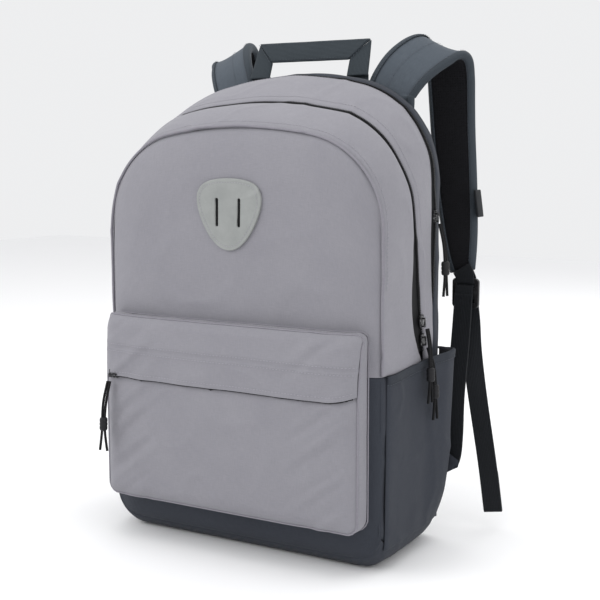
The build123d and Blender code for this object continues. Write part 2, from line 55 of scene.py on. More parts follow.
# ---- camera, daylight and table ----
# The pack stands on a pale seamless table, lit by broad soft boxes in front, to the left and
# above, with a weaker one behind for the straps.
scene = bpy.context.scene
lens = bpy.data.cameras.new("camera")
lens.lens = 70.2
lens.sensor_width = 36.0
lens.shift_y = 0.004
camera = bpy.data.objects.new("camera", lens)
scene.collection.objects.link(camera)
scene.camera = camera
camera_place = Vector((0.6107, -0.9844, 0.3858))
camera_aim = Vector((0.0213, 0.0126, 0.2335))
camera.location = camera_place
camera.rotation_euler = (camera_aim - camera_place).to_track_quat("-Z", "Y").to_euler()
scene.view_settings.view_transform = "Standard"


def soft_box(name, place, aim, size, power):
    light = bpy.data.lights.new(name, "AREA")
    light.shape = "RECTANGLE"
    light.size, light.size_y = size
    light.energy = power
    lamp = bpy.data.objects.new(name, light)
    scene.collection.objects.link(lamp)
    lamp.location = place
    lamp.rotation_euler = (Vector(aim) - Vector(place)).to_track_quat("-Z", "Y").to_euler()


soft_box("left_box", (-1.3, -1.5, 1.5), (0, 0, 0.22), (1.3, 1.3), 18)
soft_box("top_box", (0.1, 0.1, 2.0), (0, 0, 0.2), (1.6, 1.6), 14)
soft_box("right_box", (1.9, -0.4, 0.9), (0, 0, 0.2), (1.0, 1.4), 5)
soft_box("rear_box", (0.5, 1.7, 1.2), (0, 0, 0.3), (1.2, 1.2), 6)
world = bpy.data.worlds.new("daylight")
world.use_nodes = True
world.node_tree.nodes["Background"].inputs["Color"].default_value = (0.97, 0.975, 0.985, 1)
world.node_tree.nodes["Background"].inputs["Strength"].default_value = 0.88
scene.world = world


def plain_surface(name, colour, roughness, metallic=0.0):
    """A material with its shader ready; returns the material, its node tree and its shader."""
    material = bpy.data.materials.new(name)
    material.use_nodes = True
    tree = material.node_tree
    shader = tree.nodes["Principled BSDF"]
    shader.inputs["Base Color"].default_value = (*colour, 1)
    shader.inputs["Specular IOR Level"].default_value = 0.22
    shader.inputs["Roughness"].default_value = roughness
    shader.inputs["Metallic"].default_value = metallic
    return material, tree, shader


table_size = 3.0
table_mesh = bpy.data.meshes.new("table")
table_mesh.from_pydata(
    [(x * table_size, y * table_size, -0.0008) for x, y in ((-1, -1), (1, -1), (1, 1), (-1, 1))],
    [], [(0, 1, 2, 3)],
)
table = bpy.data.objects.new("table", table_mesh)
scene.collection.objects.link(table)
table_mesh.materials.append(plain_surface("table_white", (0.93, 0.93, 0.935), 0.8)[0])

# ---- zip pulls ----
# Each slider carries a looped round cord whose two ends hang free below a moulded barrel.
# The cord is braided black polyester, 2.6 mm thick, threaded through the slider's eye.
cord_diameter = 0.0026
# out from the face, aside from its twin, down, and the share of the sideways drift reached there
strand_route = [
    (0.0, 1.55, 0.0, 0.0), (3.0, 1.7, -10.0, 0.3), (5.2, 1.75, -21.0, 0.75), (6.2, 1.6, -33.0, 1.0),
    (6.6, 1.55, -46.0, 1.08), (6.9, 2.6, -57.0, 1.1), (6.7, 4.6, -69.0, 1.2),
]
knot_top, knot_foot, knot_radius = -0.0355, -0.049, 0.0040
# where each pull hangs from, the way it faces, the way along the bag, its drift in millimetres
pulls = {
    "main_pull_lower": ((0.161041, 0.013581, 0.200), (1, 0, 0), (0, 1, 0), 3.0),
    "main_pull_upper": ((0.161129, 0.010927, 0.218), (1, 0, 0), (0, 1, 0), -5.0),
    "laptop_pull": ((0.1595, 0.040, 0.315), (1, 0, 0), (0, 1, 0), 0.0),
    "pocket_pull": ((-0.130, -0.1025, 0.158), (0, -1, 0), (1, 0, 0), -2.5),
}


def noise_node(tree, vector, scale, detail=3.0, roughness=0.55):
    node = tree.nodes.new("ShaderNodeTexNoise")
    node.inputs["Scale"].default_value = scale
    node.inputs["Detail"].default_value = detail
    node.inputs["Roughness"].default_value = roughness
    tree.links.new(vector, node.inputs["Vector"])
    return node.outputs["Fac"]


def stretched(tree, source, stretch, turn=0.0):
    node = tree.nodes.new("ShaderNodeMapping")
    node.inputs["Scale"].default_value = stretch
    node.inputs["Rotation"].default_value = (0, 0, turn)
    tree.links.new(source, node.inputs["Vector"])
    return node.outputs["Vector"]


def shade_between(tree, factor, low, high, colour_low, colour_high):
    ramp = tree.nodes.new("ShaderNodeValToRGB")
    ramp.color_ramp.elements[0].position = low
    ramp.color_ramp.elements[1].position = high
    ramp.color_ramp.elements[0].color = (*colour_low, 1)
    ramp.color_ramp.elements[1].color = (*colour_high, 1)
    tree.links.new(factor, ramp.inputs["Fac"])
    return ramp.outputs["Color"]


def bump_on(tree, shader, height, distance, strength=1.0, below=None):
    node = tree.nodes.new("ShaderNodeBump")
    node.inputs["Distance"].default_value = distance
    node.inputs["Strength"].default_value = strength
    tree.links.new(height, node.inputs["Height"])
    if below is not None:
        tree.links.new(below, node.inputs["Normal"])
    tree.links.new(node.outputs["Normal"], shader.inputs["Normal"])
    return node.outputs["Normal"]


def place_of(tree, by):
    """The piece's own cloth map in metres, or its place in space."""
    if by == "UV":
        node = tree.nodes.new("ShaderNodeUVMap")
        node.uv_map = "cloth"
        return node.outputs["UV"]
    return tree.nodes.new("ShaderNodeTexCoord").outputs["Object"]


def bands(tree, vector, direction, pitch, kind="BANDS", distortion=0.0):
    """A ribbed wave with the given distance between its crests, in metres."""
    node = tree.nodes.new("ShaderNodeTexWave")
    node.wave_type = kind
    node.bands_direction = direction
    node.inputs["Scale"].default_value = 0.314159 / pitch
    node.inputs["Distortion"].default_value = distortion
    tree.links.new(vector, node.inputs["Vector"])
    return node.outputs["Fac"]


def combine(tree, operation, a, b):
    node = tree.nodes.new("ShaderNodeMath")
    node.operation = operation
    for socket, value in zip(node.inputs, (a, b)):
        if isinstance(value, (int, float)):
            socket.default_value = value
        else:
            tree.links.new(value, socket)
    return node.outputs["Value"]


def mixed(tree, factor, a, b, blend="MIX"):
    node = tree.nodes.new("ShaderNodeMix")
    node.data_type = "RGBA"
    node.blend_type = blend
    if isinstance(factor, (int, float)):
        node.inputs["Factor"].default_value = factor
    else:
        tree.links.new(factor, node.inputs["Factor"])
    for socket, value in ((node.inputs["A"], a), (node.inputs["B"], b)):
        if isinstance(value, tuple):
            socket.default_value = (*value, 1)
        else:
            tree.links.new(value, socket)
    return node.outputs["Result"]


def tone(colour, share):
    return tuple(min(1.0, c * share) for c in colour)


def braid(name, colour, pitch):
    """Braided cord: slanting ribs round it, painted darker in their grooves as painted shade and lighter on
    their crests as painted highlight, with random fuzz and a dull sheen.
    """
    material, tree, shader = plain_surface(name, colour, 0.75)
    place = place_of(tree, "Object")
    slant = stretched(tree, place, (1, 1, 1), 0.0)
    left = bands(tree, slant, "DIAGONAL", pitch, distortion=1.0)
    fuzz = noise_node(tree, place, 900, 4)
    # Painted shade in the rib grooves and painted highlight on the crests, mixed with random fibre fuzz.
    paint = shade_between(tree, combine(tree, "MULTIPLY", left, fuzz), 0.1, 0.6, tone(colour, 0.6),
        tone(colour, 2.0))
    tree.links.new(paint, shader.inputs["Base Color"])
    bump_on(tree, shader, combine(tree, "ADD", left, fuzz), 0.00025, 0.8)
    return material


cord_black = braid("cord_black", (0.006, 0.006, 0.007), 0.0011)


def curve_through(name, points, radius, material, order=3):
    curve = bpy.data.curves.new(name, "CURVE")
    curve.dimensions = "3D"
    curve.resolution_u = 10
    curve.bevel_depth = radius
    curve.bevel_resolution = 4
    curve.use_fill_caps = True
    spline = curve.splines.new("NURBS")
    spline.points.add(len(points) - 1)
    for point, place in zip(spline.points, points):
        point.co = (*place, 1)
    spline.order_u = order
    spline.use_endpoint_u = True
    curve.materials.append(material)
    obj = bpy.data.objects.new(name, curve)
    scene.collection.objects.link(obj)
    return obj


def new_piece(name, vertices, faces, material, smooth=True):
    mesh = bpy.data.meshes.new(name)
    mesh.from_pydata([tuple(v) for v in vertices], [], faces)
    mesh.validate()
    if smooth:
        mesh.shade_smooth()
    for one in (material if isinstance(material, list) else [material]):
        mesh.materials.append(one)
    obj = bpy.data.objects.new(name, mesh)
    scene.collection.objects.link(obj)
    return obj


def lathe(name, axis_points, radii, material, sides=20):
    """A turned piece along a line, closed at both ends."""
    start, end = Vector(axis_points[0]), Vector(axis_points[1])
    along = (end - start).normalized()
    across = along.orthogonal().normalized()
    other = along.cross(across)
    vertices, faces = [], []
    for share, radius in radii:
        centre = start.lerp(end, share)
        for k in range(sides):
            a = 2 * math.pi * k / sides
            vertices.append(centre + (across * math.cos(a) + other * math.sin(a)) * radius)
    for ring in range(len(radii) - 1):
        for k in range(sides):
            a, b = ring * sides + k, ring * sides + (k + 1) % sides
            faces.append((a, b, b + sides, a + sides))
    faces.append(tuple(reversed(range(sides))))
    faces.append(tuple(range((len(radii) - 1) * sides, len(radii) * sides)))
    return new_piece(name, vertices, faces, material)


barrel_material, tree, shader = plain_surface("barrel_rubber", (0.014, 0.014, 0.016), 0.5)
grain = noise_node(tree, place_of(tree, "Object"), 1500, 3)
bump_on(tree, shader, grain, 0.00008, 0.7)
barrel_radii = [
    (0.0, 0.55), (0.04, 0.82), (0.12, 0.97), (0.3, 1.0), (0.36, 0.88), (0.42, 1.0), (0.58, 1.0),
    (0.64, 0.88), (0.7, 1.0), (0.88, 0.97), (0.96, 0.82), (1.0, 0.55),
]
for pull, (eye, out_way, side_way, drift) in pulls.items():
    def on_pull(out, side, down, share, eye=eye, out_way=out_way, side_way=side_way, drift=drift):
        place = Vector(eye) + Vector(out_way) * out + Vector(side_way) * (side + drift * 0.001 * share)
        return place + Vector((0, 0, down))

    top = on_pull(strand_route[3][0] * 0.001, 0, knot_top, 1.0)
    foot = on_pull(strand_route[4][0] * 0.001, 0, knot_foot, 1.08)
    barrel = lathe(
        f"{pull}_barrel", (top, foot), [(share, knot_radius * r) for share, r in barrel_radii],
        barrel_material,
    )
    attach(barrel, pull)
    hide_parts(f"{pull}_knot")
    for index, sign in enumerate((-1, 1)):
        route = [
            on_pull(out * 0.001, sign * side * 0.001, down * 0.001, share)
            for out, side, down, share in strand_route
        ]
        strand = curve_through(f"{pull}_strand_{index}", route, cord_diameter / 2, cord_black)
        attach(strand, pull)
        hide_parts(f"{pull}_cord")

# ---- dark lower shell: base and sides ----
# Two side panels and a base cut from a dark 600 denier melange polyester, padded and lined.
# They are sewn edge to edge inside out, so each seam shows as a narrow groove.
base_lo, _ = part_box("base_panel")
back_lo, back_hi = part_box("back_panel_cover")
front_y = base_lo.y
rear_y, back_y = back_lo.y, back_hi.y
bag_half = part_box("lid_panel")[1].x
rear_half = back_hi.x
bag_height = back_hi.z
front_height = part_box("lid_panel")[1].z
laptop_zip_y = 0.040
base_corner = 0.026
colour_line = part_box("side_lower_right")[1].z
wall = 0.0024
# depth, half width, height, floor, crown radius, top corner radius of the bag's sections
bag_stations = [
    (front_y, bag_half, front_height, 0.010, 0.435, 0.088),
    (-0.050, bag_half + 0.0015, front_height + 0.010, 0.0, 0.420, 0.089),
    (-0.020, bag_half + 0.003, front_height + 0.026, 0.0, 0.395, 0.091),
    (laptop_zip_y, rear_half + 0.004, bag_height - 0.002, 0.0, 0.340, 0.098),
    (rear_y, rear_half, bag_height, 0.0, 0.330, 0.100),
]
crown_share, corner_share, side_share, base_share = 0.20, 0.44, 0.78, 0.86


def smooth_through(knots, at):
    """A smooth curve through (place, value) knots that never overshoots them."""
    places = [p for p, _ in knots]
    values = [v for _, v in knots]
    at = min(max(at, places[0]), places[-1])
    slopes = [(b - a) / (q - p) for p, q, a, b in zip(places, places[1:], values, values[1:])]
    tangents = [slopes[0]]
    for before, after in zip(slopes, slopes[1:]):
        tangents.append(0.0 if before * after <= 0 else 2 * before * after / (before + after))
    tangents.append(slopes[-1])
    for i in range(len(slopes)):
        if at <= places[i + 1]:
            h = places[i + 1] - places[i]
            t = (at - places[i]) / h
            a = (1 + 2 * t) * (1 - t) ** 2 * values[i] + t * (1 - t) ** 2 * h * tangents[i]
            return a + t * t * (3 - 2 * t) * values[i + 1] + t * t * (t - 1) * h * tangents[i + 1]
    return values[-1]


section_cache = {}


def section(y):
    key = round(y, 6)
    if key not in section_cache:
        section_cache[key] = [
            smooth_through([(station[0], station[i]) for station in bag_stations], y)
            for i in range(1, 6)
        ]
    return section_cache[key]


def arch_of(y):
    half, top, floor, crown, corner = section(y)
    centre = top - crown
    corner_z = centre + math.sqrt((crown - corner) ** 2 - (half - corner) ** 2)
    return half, top, floor, crown, corner, centre, corner_z


def outline_point(y, s):
    """The bag's outline at depth y: s runs from 0 at the crown to 1 under the middle, and -1."""
    half, top, floor, crown, corner, centre, corner_z = arch_of(y)
    u = min(abs(s), 1.0)
    lean = math.atan2(corner_z - centre, half - corner)
    if u < crown_share:
        a = math.pi / 2 + (lean - math.pi / 2) * u / crown_share
        x, z = crown * math.cos(a), centre + crown * math.sin(a)
    elif u < corner_share:
        a = lean * (1 - (u - crown_share) / (corner_share - crown_share))
        x, z = half - corner + corner * math.cos(a), corner_z + corner * math.sin(a)
    elif u < side_share:
        low = floor + base_corner
        x = half
        z = corner_z + (low - corner_z) * (u - corner_share) / (side_share - corner_share)
    elif u < base_share:
        a = (u - side_share) / (base_share - side_share) * math.pi / 2
        x = half - base_corner + base_corner * math.cos(a)
        z = floor + base_corner - base_corner * math.sin(a)
    else:
        x, z = (half - base_corner) * (1 - (u - base_share) / (1 - base_share)), floor
    return Vector((math.copysign(x, s), y, z))


def side_share_at(y, z):
    """The outline's s where the straight side has height z."""
    *_, corner_z = arch_of(y)
    floor = section(y)[2]
    share = (corner_z - z) / (corner_z - floor - base_corner)
    return corner_share + share * (side_share - corner_share)


def slack(place, most):
    """How far soft cloth stands off its true surface: broad waves with finer ones on them."""
    broad = noise.noise(Vector((place.x * 9, place.y * 13, place.z * 9)))
    fine = noise.noise(Vector((place.x * 26 + 7, place.y * 34, place.z * 23)))
    fold = noise.noise(Vector((place.x * 17 - place.z * 9 + 3, place.y * 21, place.z * 15 + place.x * 8)))
    return most * (0.75 * broad + 0.3 * fine + 0.35 * max(0.0, 1 - 4.5 * abs(fold)) ** 2)


def shell_point(y, s, out=0.0, waves=0.0026):
    step = 0.0006
    place = outline_point(y, s)
    along = outline_point(y, s + 0.002) - outline_point(y, s - 0.002)
    inside = min(max(y, front_y + step), rear_y - step)
    deep = outline_point(inside + step, s) - outline_point(inside - step, s)
    normal = along.cross(deep).normalized()
    if normal.dot(place - Vector((0, y, 0.2))) < 0:
        normal = -normal
    fade = min(1.0, place.z / 0.03)
    return place + normal * (out + slack(place, waves) * fade)


heart_of_bag = Vector((0, 0, 0.2))


def grid_piece(name, rows, material, skin=0.0, lining=None, close=False, inside=heart_of_bag, smooth=1):
    """A cloth panel from rows of points, with its cloth map in metres and a real thickness.
    Its right side faces away from the point inside."""
    count, width = len(rows), len(rows[0])
    vertices = [p for row in rows for p in row]
    faces = []
    for i in range(count - 1):
        for j in range(width if close else width - 1):
            a, b = i * width + j, i * width + (j + 1) % width
            faces.append((a, b, b + width, a + width))
    facing = 0.0
    for a, b, c, d in faces:
        across, down = vertices[c] - vertices[a], vertices[d] - vertices[b]
        facing += across.cross(down).dot((vertices[a] + vertices[c]) / 2 - inside)
    if facing < 0:
        faces = [tuple(reversed(face)) for face in faces]
    obj = new_piece(name, vertices, faces, material)
    lengths_across = [0.0]
    for j in range(1, width + 1):
        step = sum((row[j % width] - row[j - 1]).length for row in rows) / count
        lengths_across.append(lengths_across[-1] + step)
    lengths_down = [0.0]
    for i in range(1, count):
        step = sum((a - b).length for a, b in zip(rows[i], rows[i - 1])) / width
        lengths_down.append(lengths_down[-1] + step)
    cloth_map = obj.data.uv_layers.new(name="cloth")
    for polygon in obj.data.polygons:
        columns = [obj.data.loops[k].vertex_index % width for k in polygon.loop_indices]
        wraps = close and max(columns) - min(columns) > width / 2
        for k, column in zip(polygon.loop_indices, columns):
            row = obj.data.loops[k].vertex_index // width
            if wraps and column == 0:
                column = width
            cloth_map.data[k].uv = (lengths_across[column], lengths_down[row])
    if skin:
        solid = obj.modifiers.new("skin", "SOLIDIFY")
        solid.thickness = skin
        solid.offset = -1.0
        solid.use_even_offset = False
        if lining is not None:
            obj.data.materials.append(lining)
            solid.material_offset = 1
    if smooth:
        subdivision = obj.modifiers.new("smooth", "SUBSURF")
        subdivision.levels = subdivision.render_levels = smooth
        subdivision.boundary_smooth = "PRESERVE_CORNERS"
    return settled(obj)


def settled(obj):
    """Turns a piece's live modifiers into its own plain mesh."""
    if obj.modifiers:
        bpy.context.view_layer.update()
        result = bpy.data.meshes.new_from_object(obj.evaluated_get(bpy.context.evaluated_depsgraph_get()))
        old = obj.data
        obj.modifiers.clear()
        obj.data = result
        result.name = obj.name
        bpy.data.meshes.remove(old)
    return obj


def edge_roll(t, length, depth=0.0016, width=0.004):
    """How far a sewn panel dips at its two edges; t runs from 0 to 1 over the panel's length."""
    from_edge = min(t, 1 - t) * length
    return -depth * (1 - min(from_edge / width, 1.0)) ** 2


def edge_steps(count, length, width=0.004):
    """Places from 0 to 1 with close steps near both edges, where the cloth rolls in."""
    w = min(width / max(length, 1e-6), 0.25)
    inner = [w + (1 - 2 * w) * i / count for i in range(count + 1)]
    return [0.0, w * 0.3, w * 0.65] + inner + [1 - w * 0.65, 1 - w * 0.3, 1.0]


def melange(name, light, dark, pitch=0.0006, by="UV", roughness=0.82, sheen=0.04, streak=0.5):
    """Plain woven cloth of spun yarns in two close shades, so it looks slightly streaked."""
    material, tree, shader = plain_surface(name, light, roughness)
    place = place_of(tree, by)
    along = noise_node(tree, stretched(tree, place, (120, 1600, 700)), 1.0, 4, 0.6)
    across = noise_node(tree, stretched(tree, place, (1600, 120, 700)), 1.0, 4, 0.6)
    broad = noise_node(tree, stretched(tree, place, (1, 1, 1)), 14.0, 3)
    yarns = combine(tree, "ADD", combine(tree, "MULTIPLY", along, streak),
        combine(tree, "MULTIPLY", across, 1 - streak))
    paint = shade_between(tree, yarns, 0.36, 0.64, dark, light)
    soil = shade_between(tree, broad, 0.3, 0.7, (0.93, 0.93, 0.94), (1.0, 1.0, 1.0))
    tree.links.new(mixed(tree, 1.0, paint, soil, "MULTIPLY"), shader.inputs["Base Color"])
    shader.inputs["Sheen Weight"].default_value = sheen
    shader.inputs["Sheen Roughness"].default_value = 0.45
    warp = bands(tree, place, "X", pitch)
    weft = bands(tree, place, "Y", pitch)
    weave = combine(tree, "MULTIPLY", warp, weft)
    if by == "Object":
        weave = combine(tree, "MULTIPLY", weft, bands(tree, place, "Z", pitch))
    creases = noise_node(tree, stretched(tree, place, (1, 1, 1)), 60.0, 4, 0.6)
    crumple = bump_on(tree, shader, creases, 0.0011, 0.45)
    bump_on(tree, shader, weave, 0.00012, 0.5, below=crumple)
    return material


shell_dark = melange("shell_dark", (0.040, 0.045, 0.057), (0.031, 0.035, 0.045))
shell_light = melange("shell_light", (0.268, 0.263, 0.288), (0.234, 0.230, 0.254), sheen=0.12)
lining_grey = melange("lining_grey", (0.060, 0.062, 0.068), (0.045, 0.046, 0.052), roughness=0.6)


def lower_side(name, sign):
    rows = []
    for t in edge_steps(26, rear_y - front_y):
        y = front_y + t * (rear_y - front_y)
        top_s, foot_s = side_share_at(y, colour_line), side_share
        row = []
        for k in edge_steps(26, colour_line - base_corner):
            dip = edge_roll(t, rear_y - front_y) + edge_roll(k, colour_line - base_corner)
            row.append(shell_point(y, sign * (top_s + k * (foot_s - top_s)), dip))
        rows.append(row)
    panel = grid_piece(name, rows, shell_dark, skin=wall * 0.6, lining=lining_grey)
    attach(panel, "pack")
    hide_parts(name)
    return panel


for side_name, sign in (("left", -1), ("right", 1)):
    lower_side(f"side_lower_{side_name}", sign)

rows = []
for t in edge_steps(30, rear_y - front_y):
    y = front_y + t * (rear_y - front_y)
    row = []
    for k in edge_steps(48, 2 * bag_half):
        u = -1 + 2 * k
        s = math.copysign(1 - abs(u) * (1 - side_share), u)
        dip = edge_roll(t, rear_y - front_y) + edge_roll(k, 2 * bag_half)
        row.append(shell_point(y, s, dip))
    rows.append(row)
base = grid_piece("base", rows, shell_dark, skin=wall * 0.6, lining=lining_grey)
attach(base, "pack")
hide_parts("base_panel")

# ---- gussets round the arch ----
# Light melange cloth from the front seam to the main zip and on to the laptop zip, dark cloth
# from there to the back panel. Each is sewn to its zip tape with the edge folded over the coil.
zip_knots = [(0.150, 0.0190), (0.196, 0.0142), (0.333, -0.006), (0.385, -0.020), (0.440, -0.0215)]
laptop_zip_foot = 0.245


def main_zip_y(z):
    return smooth_through(zip_knots, z)


def front_gape(z):
    """How far the front gusset's folded edge stands back from the main zip's middle."""
    return smooth_through([(0.186, 0.0008), (0.202, 0.0060), (0.240, 0.0080), (0.285, 0.0048),
        (0.325, 0.0024), (0.400, 0.0013)], z)


def rear_gape(z):
    return smooth_through([(0.186, 0.0008), (0.202, 0.0016), (0.300, 0.0009)], z)


def front_fold(z):
    """Depth and width of the shaded fold where the filled front gusset turns in to the zip."""
    share = smooth_through([(0.186, 0.05), (0.215, 1.0), (0.250, 0.9), (0.325, 0.12)], z)
    return 0.0016 + 0.0040 * share, 0.0035 + 0.0125 * share


def plain_fold(z):
    return 0.0014, 0.0035


def strip_point(y, k, foot, out=0.0):
    """The bag's surface at depth y; k runs from -1 to 1 between the strip's two feet."""
    arch_part = 0.64
    u = abs(k)
    if u <= arch_part:
        s = u / arch_part * corner_share
    else:
        *_, corner_z = arch_of(y)
        z = corner_z + (foot - corner_z) * (u - arch_part) / (1 - arch_part)
        s = side_share_at(y, z)
    return shell_point(y, math.copysign(s, k), out)


def strip_depth(line, k, foot):
    """The depth where a line drawn in the side view crosses column k of a strip."""
    y = 0.0
    for _ in range(6):
        y = line(strip_point(y, k, foot).z)
    return y


def gusset(name, front_line, rear_line, foot, material, columns=160, steps=16, puff=0.0,
    rear_fold=plain_fold):
    rows = []
    ends = []
    for j in range(columns + 1):
        k = -1 + 2 * j / columns
        ends.append((k, strip_depth(front_line, k, foot), strip_depth(rear_line, k, foot)))
    for t in edge_steps(steps, 0.04, 0.0035):
        row = []
        for k, y0, y1 in ends:
            y = y0 + t * (y1 - y0)
            depth, width = rear_fold(strip_point(y, k, foot).z)
            from_rear = min((y1 - y) / width, 1.0)
            out = edge_roll(min(t, 0.5), y1 - y0, 0.0014, 0.0035) + puff * 4 * t * (1 - t)
            row.append(strip_point(y, k, foot, out - depth * (1 - from_rear) ** 2))
        rows.append(row)
    return grid_piece(name, rows, material, skin=wall * 0.6, lining=lining_grey)


front_gusset = gusset(
    "front_gusset", lambda z: front_y, lambda z: main_zip_y(z) - front_gape(z), colour_line, shell_light,
    puff=0.0012, rear_fold=front_fold,
)
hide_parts("front_gusset_lower", "lid_gusset")
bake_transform(front_gusset)



def laptop_gape(z):
    """Half the width of the laptop zip's bare tape."""
    return smooth_through([(0.236, 0.0006), (0.252, 0.0035), (0.300, 0.0052), (0.400, 0.0045),
        (0.44, 0.0040)], z)


rear_gusset = gusset(
    "rear_gusset", lambda z: main_zip_y(z) + rear_gape(z), lambda z: laptop_zip_y - laptop_gape(z),
    colour_line, shell_light, puff=0.0015,
)
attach(rear_gusset, "pack")
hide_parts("rear_gusset")
laptop_gusset = gusset(
    "laptop_gusset", lambda z: laptop_zip_y + laptop_gape(z), lambda z: rear_y, colour_line, shell_dark,
    steps=8, puff=0.0005,
)
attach(laptop_gusset, "pack")
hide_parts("laptop_gusset")

# ---- front panel ----
# The light front above a dark foot, one cloth each, sewn into the gussets all round. Filled, the
# front stands out of its seam like a cushion.
front_bulge = front_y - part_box("lid_panel")[0].y
bulge_reach = 0.062


def front_span(x):
    """The lowest and highest point of the front seam at x."""
    half, top, floor, crown, corner, centre, corner_z = arch_of(front_y)
    lean = math.atan2(corner_z - centre, half - corner)
    u = abs(x)
    if u < crown * math.cos(lean):
        high = centre + math.sqrt(crown ** 2 - u ** 2)
    else:
        high = corner_z + math.sqrt(max(corner ** 2 - (u - half + corner) ** 2, 0.0))
    over = max(u - half + base_corner, 0.0)
    return floor + base_corner - math.sqrt(max(base_corner ** 2 - over ** 2, 0.0)), high


def front_point(x, z, out=0.0):
    low, high = front_span(x)
    edges = (bag_half - abs(x), high - z, z - low)
    inset = -0.012 * math.log(sum(math.exp(-max(e, 0.0) / 0.012) for e in edges))
    near = min(max(inset / bulge_reach, 0.0), 1.0)
    bulge = front_bulge * (1 - (1 - near) ** 2.4)
    seam = -0.0026 * max(0.0, 1 - min(edges) / 0.006) ** 2
    place = Vector((x, front_y - bulge, z))
    return Vector((x, front_y - bulge - out - seam - slack(place, 0.0040) * near, z))


def front_rows(low_of, high_of, columns=64, steps=40):
    rows = []
    for t in edge_steps(steps, 0.2):
        row = []
        for j in range(columns + 1):
            x = bag_half * math.sin(math.pi / 2 * (-1 + 2 * j / columns))
            low, high = front_span(x)
            low, high = max(low, low_of), min(high, high_of)
            row.append(front_point(x, low + t * (high - low)))
        rows.append(row)
    return rows


front_panel = grid_piece(
    "front_panel", front_rows(colour_line, 1.0), shell_light, skin=wall * 0.6, lining=lining_grey,
)
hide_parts("lid_panel")
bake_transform(front_panel)
front_foot = grid_piece(
    "front_foot", front_rows(-1.0, colour_line, steps=24), shell_dark, skin=wall * 0.6,
    lining=lining_grey,
)
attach(front_foot, "pack")
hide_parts("front_panel_lower")

# ---- zips ----
# Black woven tapes with a spiral nylon coil on the meeting edge of each. The main zip lies under
# the folded gusset edges, the laptop zip is sewn in bare, the pocket zip hides under its flap.


def ribbed_tape(name, colour, pitch, by="UV"):
    """Woven tape: fine ribs across its length, painted darker in their troughs as painted shade and lighter
    on their crests as painted highlight, with random fuzz.
    """
    material, tree, shader = plain_surface(name, colour, 0.7)
    place = place_of(tree, by)
    ribs = bands(tree, place, "X", pitch, distortion=0.3)
    yarns = bands(tree, place, "Y", pitch * 0.8, distortion=0.3)
    fuzz = noise_node(tree, place, 700, 3)
    # Painted shade in the rib troughs and painted highlight on the crests, mixed with random fuzz.
    paint = shade_between(tree, combine(tree, "MULTIPLY", ribs, fuzz), 0.0, 0.6, tone(colour, 0.75),
        tone(colour, 1.5))
    tree.links.new(paint, shader.inputs["Base Color"])
    shader.inputs["Sheen Weight"].default_value = 0.02
    bump_on(tree, shader, combine(tree, "ADD", ribs, combine(tree, "MULTIPLY", yarns, 0.5)), 0.0002, 0.7)
    return material


tape_black = ribbed_tape("tape_black", (0.005, 0.005, 0.006), 0.0009)
coil_black, tree, shader = plain_surface("coil_nylon", (0.009, 0.009, 0.010), 0.35)
bump_on(tree, shader, noise_node(tree, place_of(tree, "Object"), 2500, 2), 0.00005, 0.5)


def along_lines(name, lines, pitch, bead, bead_material):
    """Sets a small bead at each step along the lines, turned to follow them, by geometry nodes."""
    vertices, edges = [], []
    for line in lines:
        first = len(vertices)
        vertices += [tuple(p) for p in line]
        edges += [(i, i + 1) for i in range(first, len(vertices) - 1)]
    mesh = bpy.data.meshes.new(name)
    mesh.from_pydata(vertices, edges, [])
    obj = bpy.data.objects.new(name, mesh)
    scene.collection.objects.link(obj)
    tree = bpy.data.node_groups.new(f"{name}_nodes", "GeometryNodeTree")
    tree.interface.new_socket("Geometry", in_out="INPUT", socket_type="NodeSocketGeometry")
    step = tree.interface.new_socket("Step", in_out="INPUT", socket_type="NodeSocketFloat")
    size = tree.interface.new_socket("Bead size", in_out="INPUT", socket_type="NodeSocketVector")
    tree.interface.new_socket("Geometry", in_out="OUTPUT", socket_type="NodeSocketGeometry")
    entry = tree.nodes.new("NodeGroupInput")
    leave = tree.nodes.new("NodeGroupOutput")
    to_curve = tree.nodes.new("GeometryNodeMeshToCurve")
    to_points = tree.nodes.new("GeometryNodeCurveToPoints")
    to_points.mode = "LENGTH"
    ball = tree.nodes.new("GeometryNodeMeshUVSphere")
    ball.inputs["Segments"].default_value = 6
    ball.inputs["Rings"].default_value = 4
    ball.inputs["Radius"].default_value = 0.5
    place = tree.nodes.new("GeometryNodeInstanceOnPoints")
    real = tree.nodes.new("GeometryNodeRealizeInstances")
    shade = tree.nodes.new("GeometryNodeSetShadeSmooth")
    finish = tree.nodes.new("GeometryNodeSetMaterial")
    finish.inputs["Material"].default_value = bead_material
    links = tree.links
    links.new(entry.outputs["Geometry"], to_curve.inputs["Mesh"])
    links.new(to_curve.outputs["Curve"], to_points.inputs["Curve"])
    links.new(entry.outputs["Step"], to_points.inputs["Length"])
    links.new(to_points.outputs["Points"], place.inputs["Points"])
    links.new(to_points.outputs["Rotation"], place.inputs["Rotation"])
    links.new(ball.outputs["Mesh"], place.inputs["Instance"])
    links.new(entry.outputs["Bead size"], place.inputs["Scale"])
    links.new(place.outputs["Instances"], real.inputs["Geometry"])
    links.new(real.outputs["Geometry"], shade.inputs["Geometry"])
    links.new(shade.outputs["Geometry"], finish.inputs["Geometry"])
    links.new(finish.outputs["Geometry"], leave.inputs["Geometry"])
    modifier = obj.modifiers.new("beads", "NODES")
    modifier.node_group = tree
    modifier[step.identifier] = pitch
    modifier[size.identifier] = bead
    settled(obj)
    if not obj.data.materials:
        obj.data.materials.append(bead_material)
    return obj


coil_pitch = 0.0017
coil_bead = (0.0030, 0.0013, 0.0012)


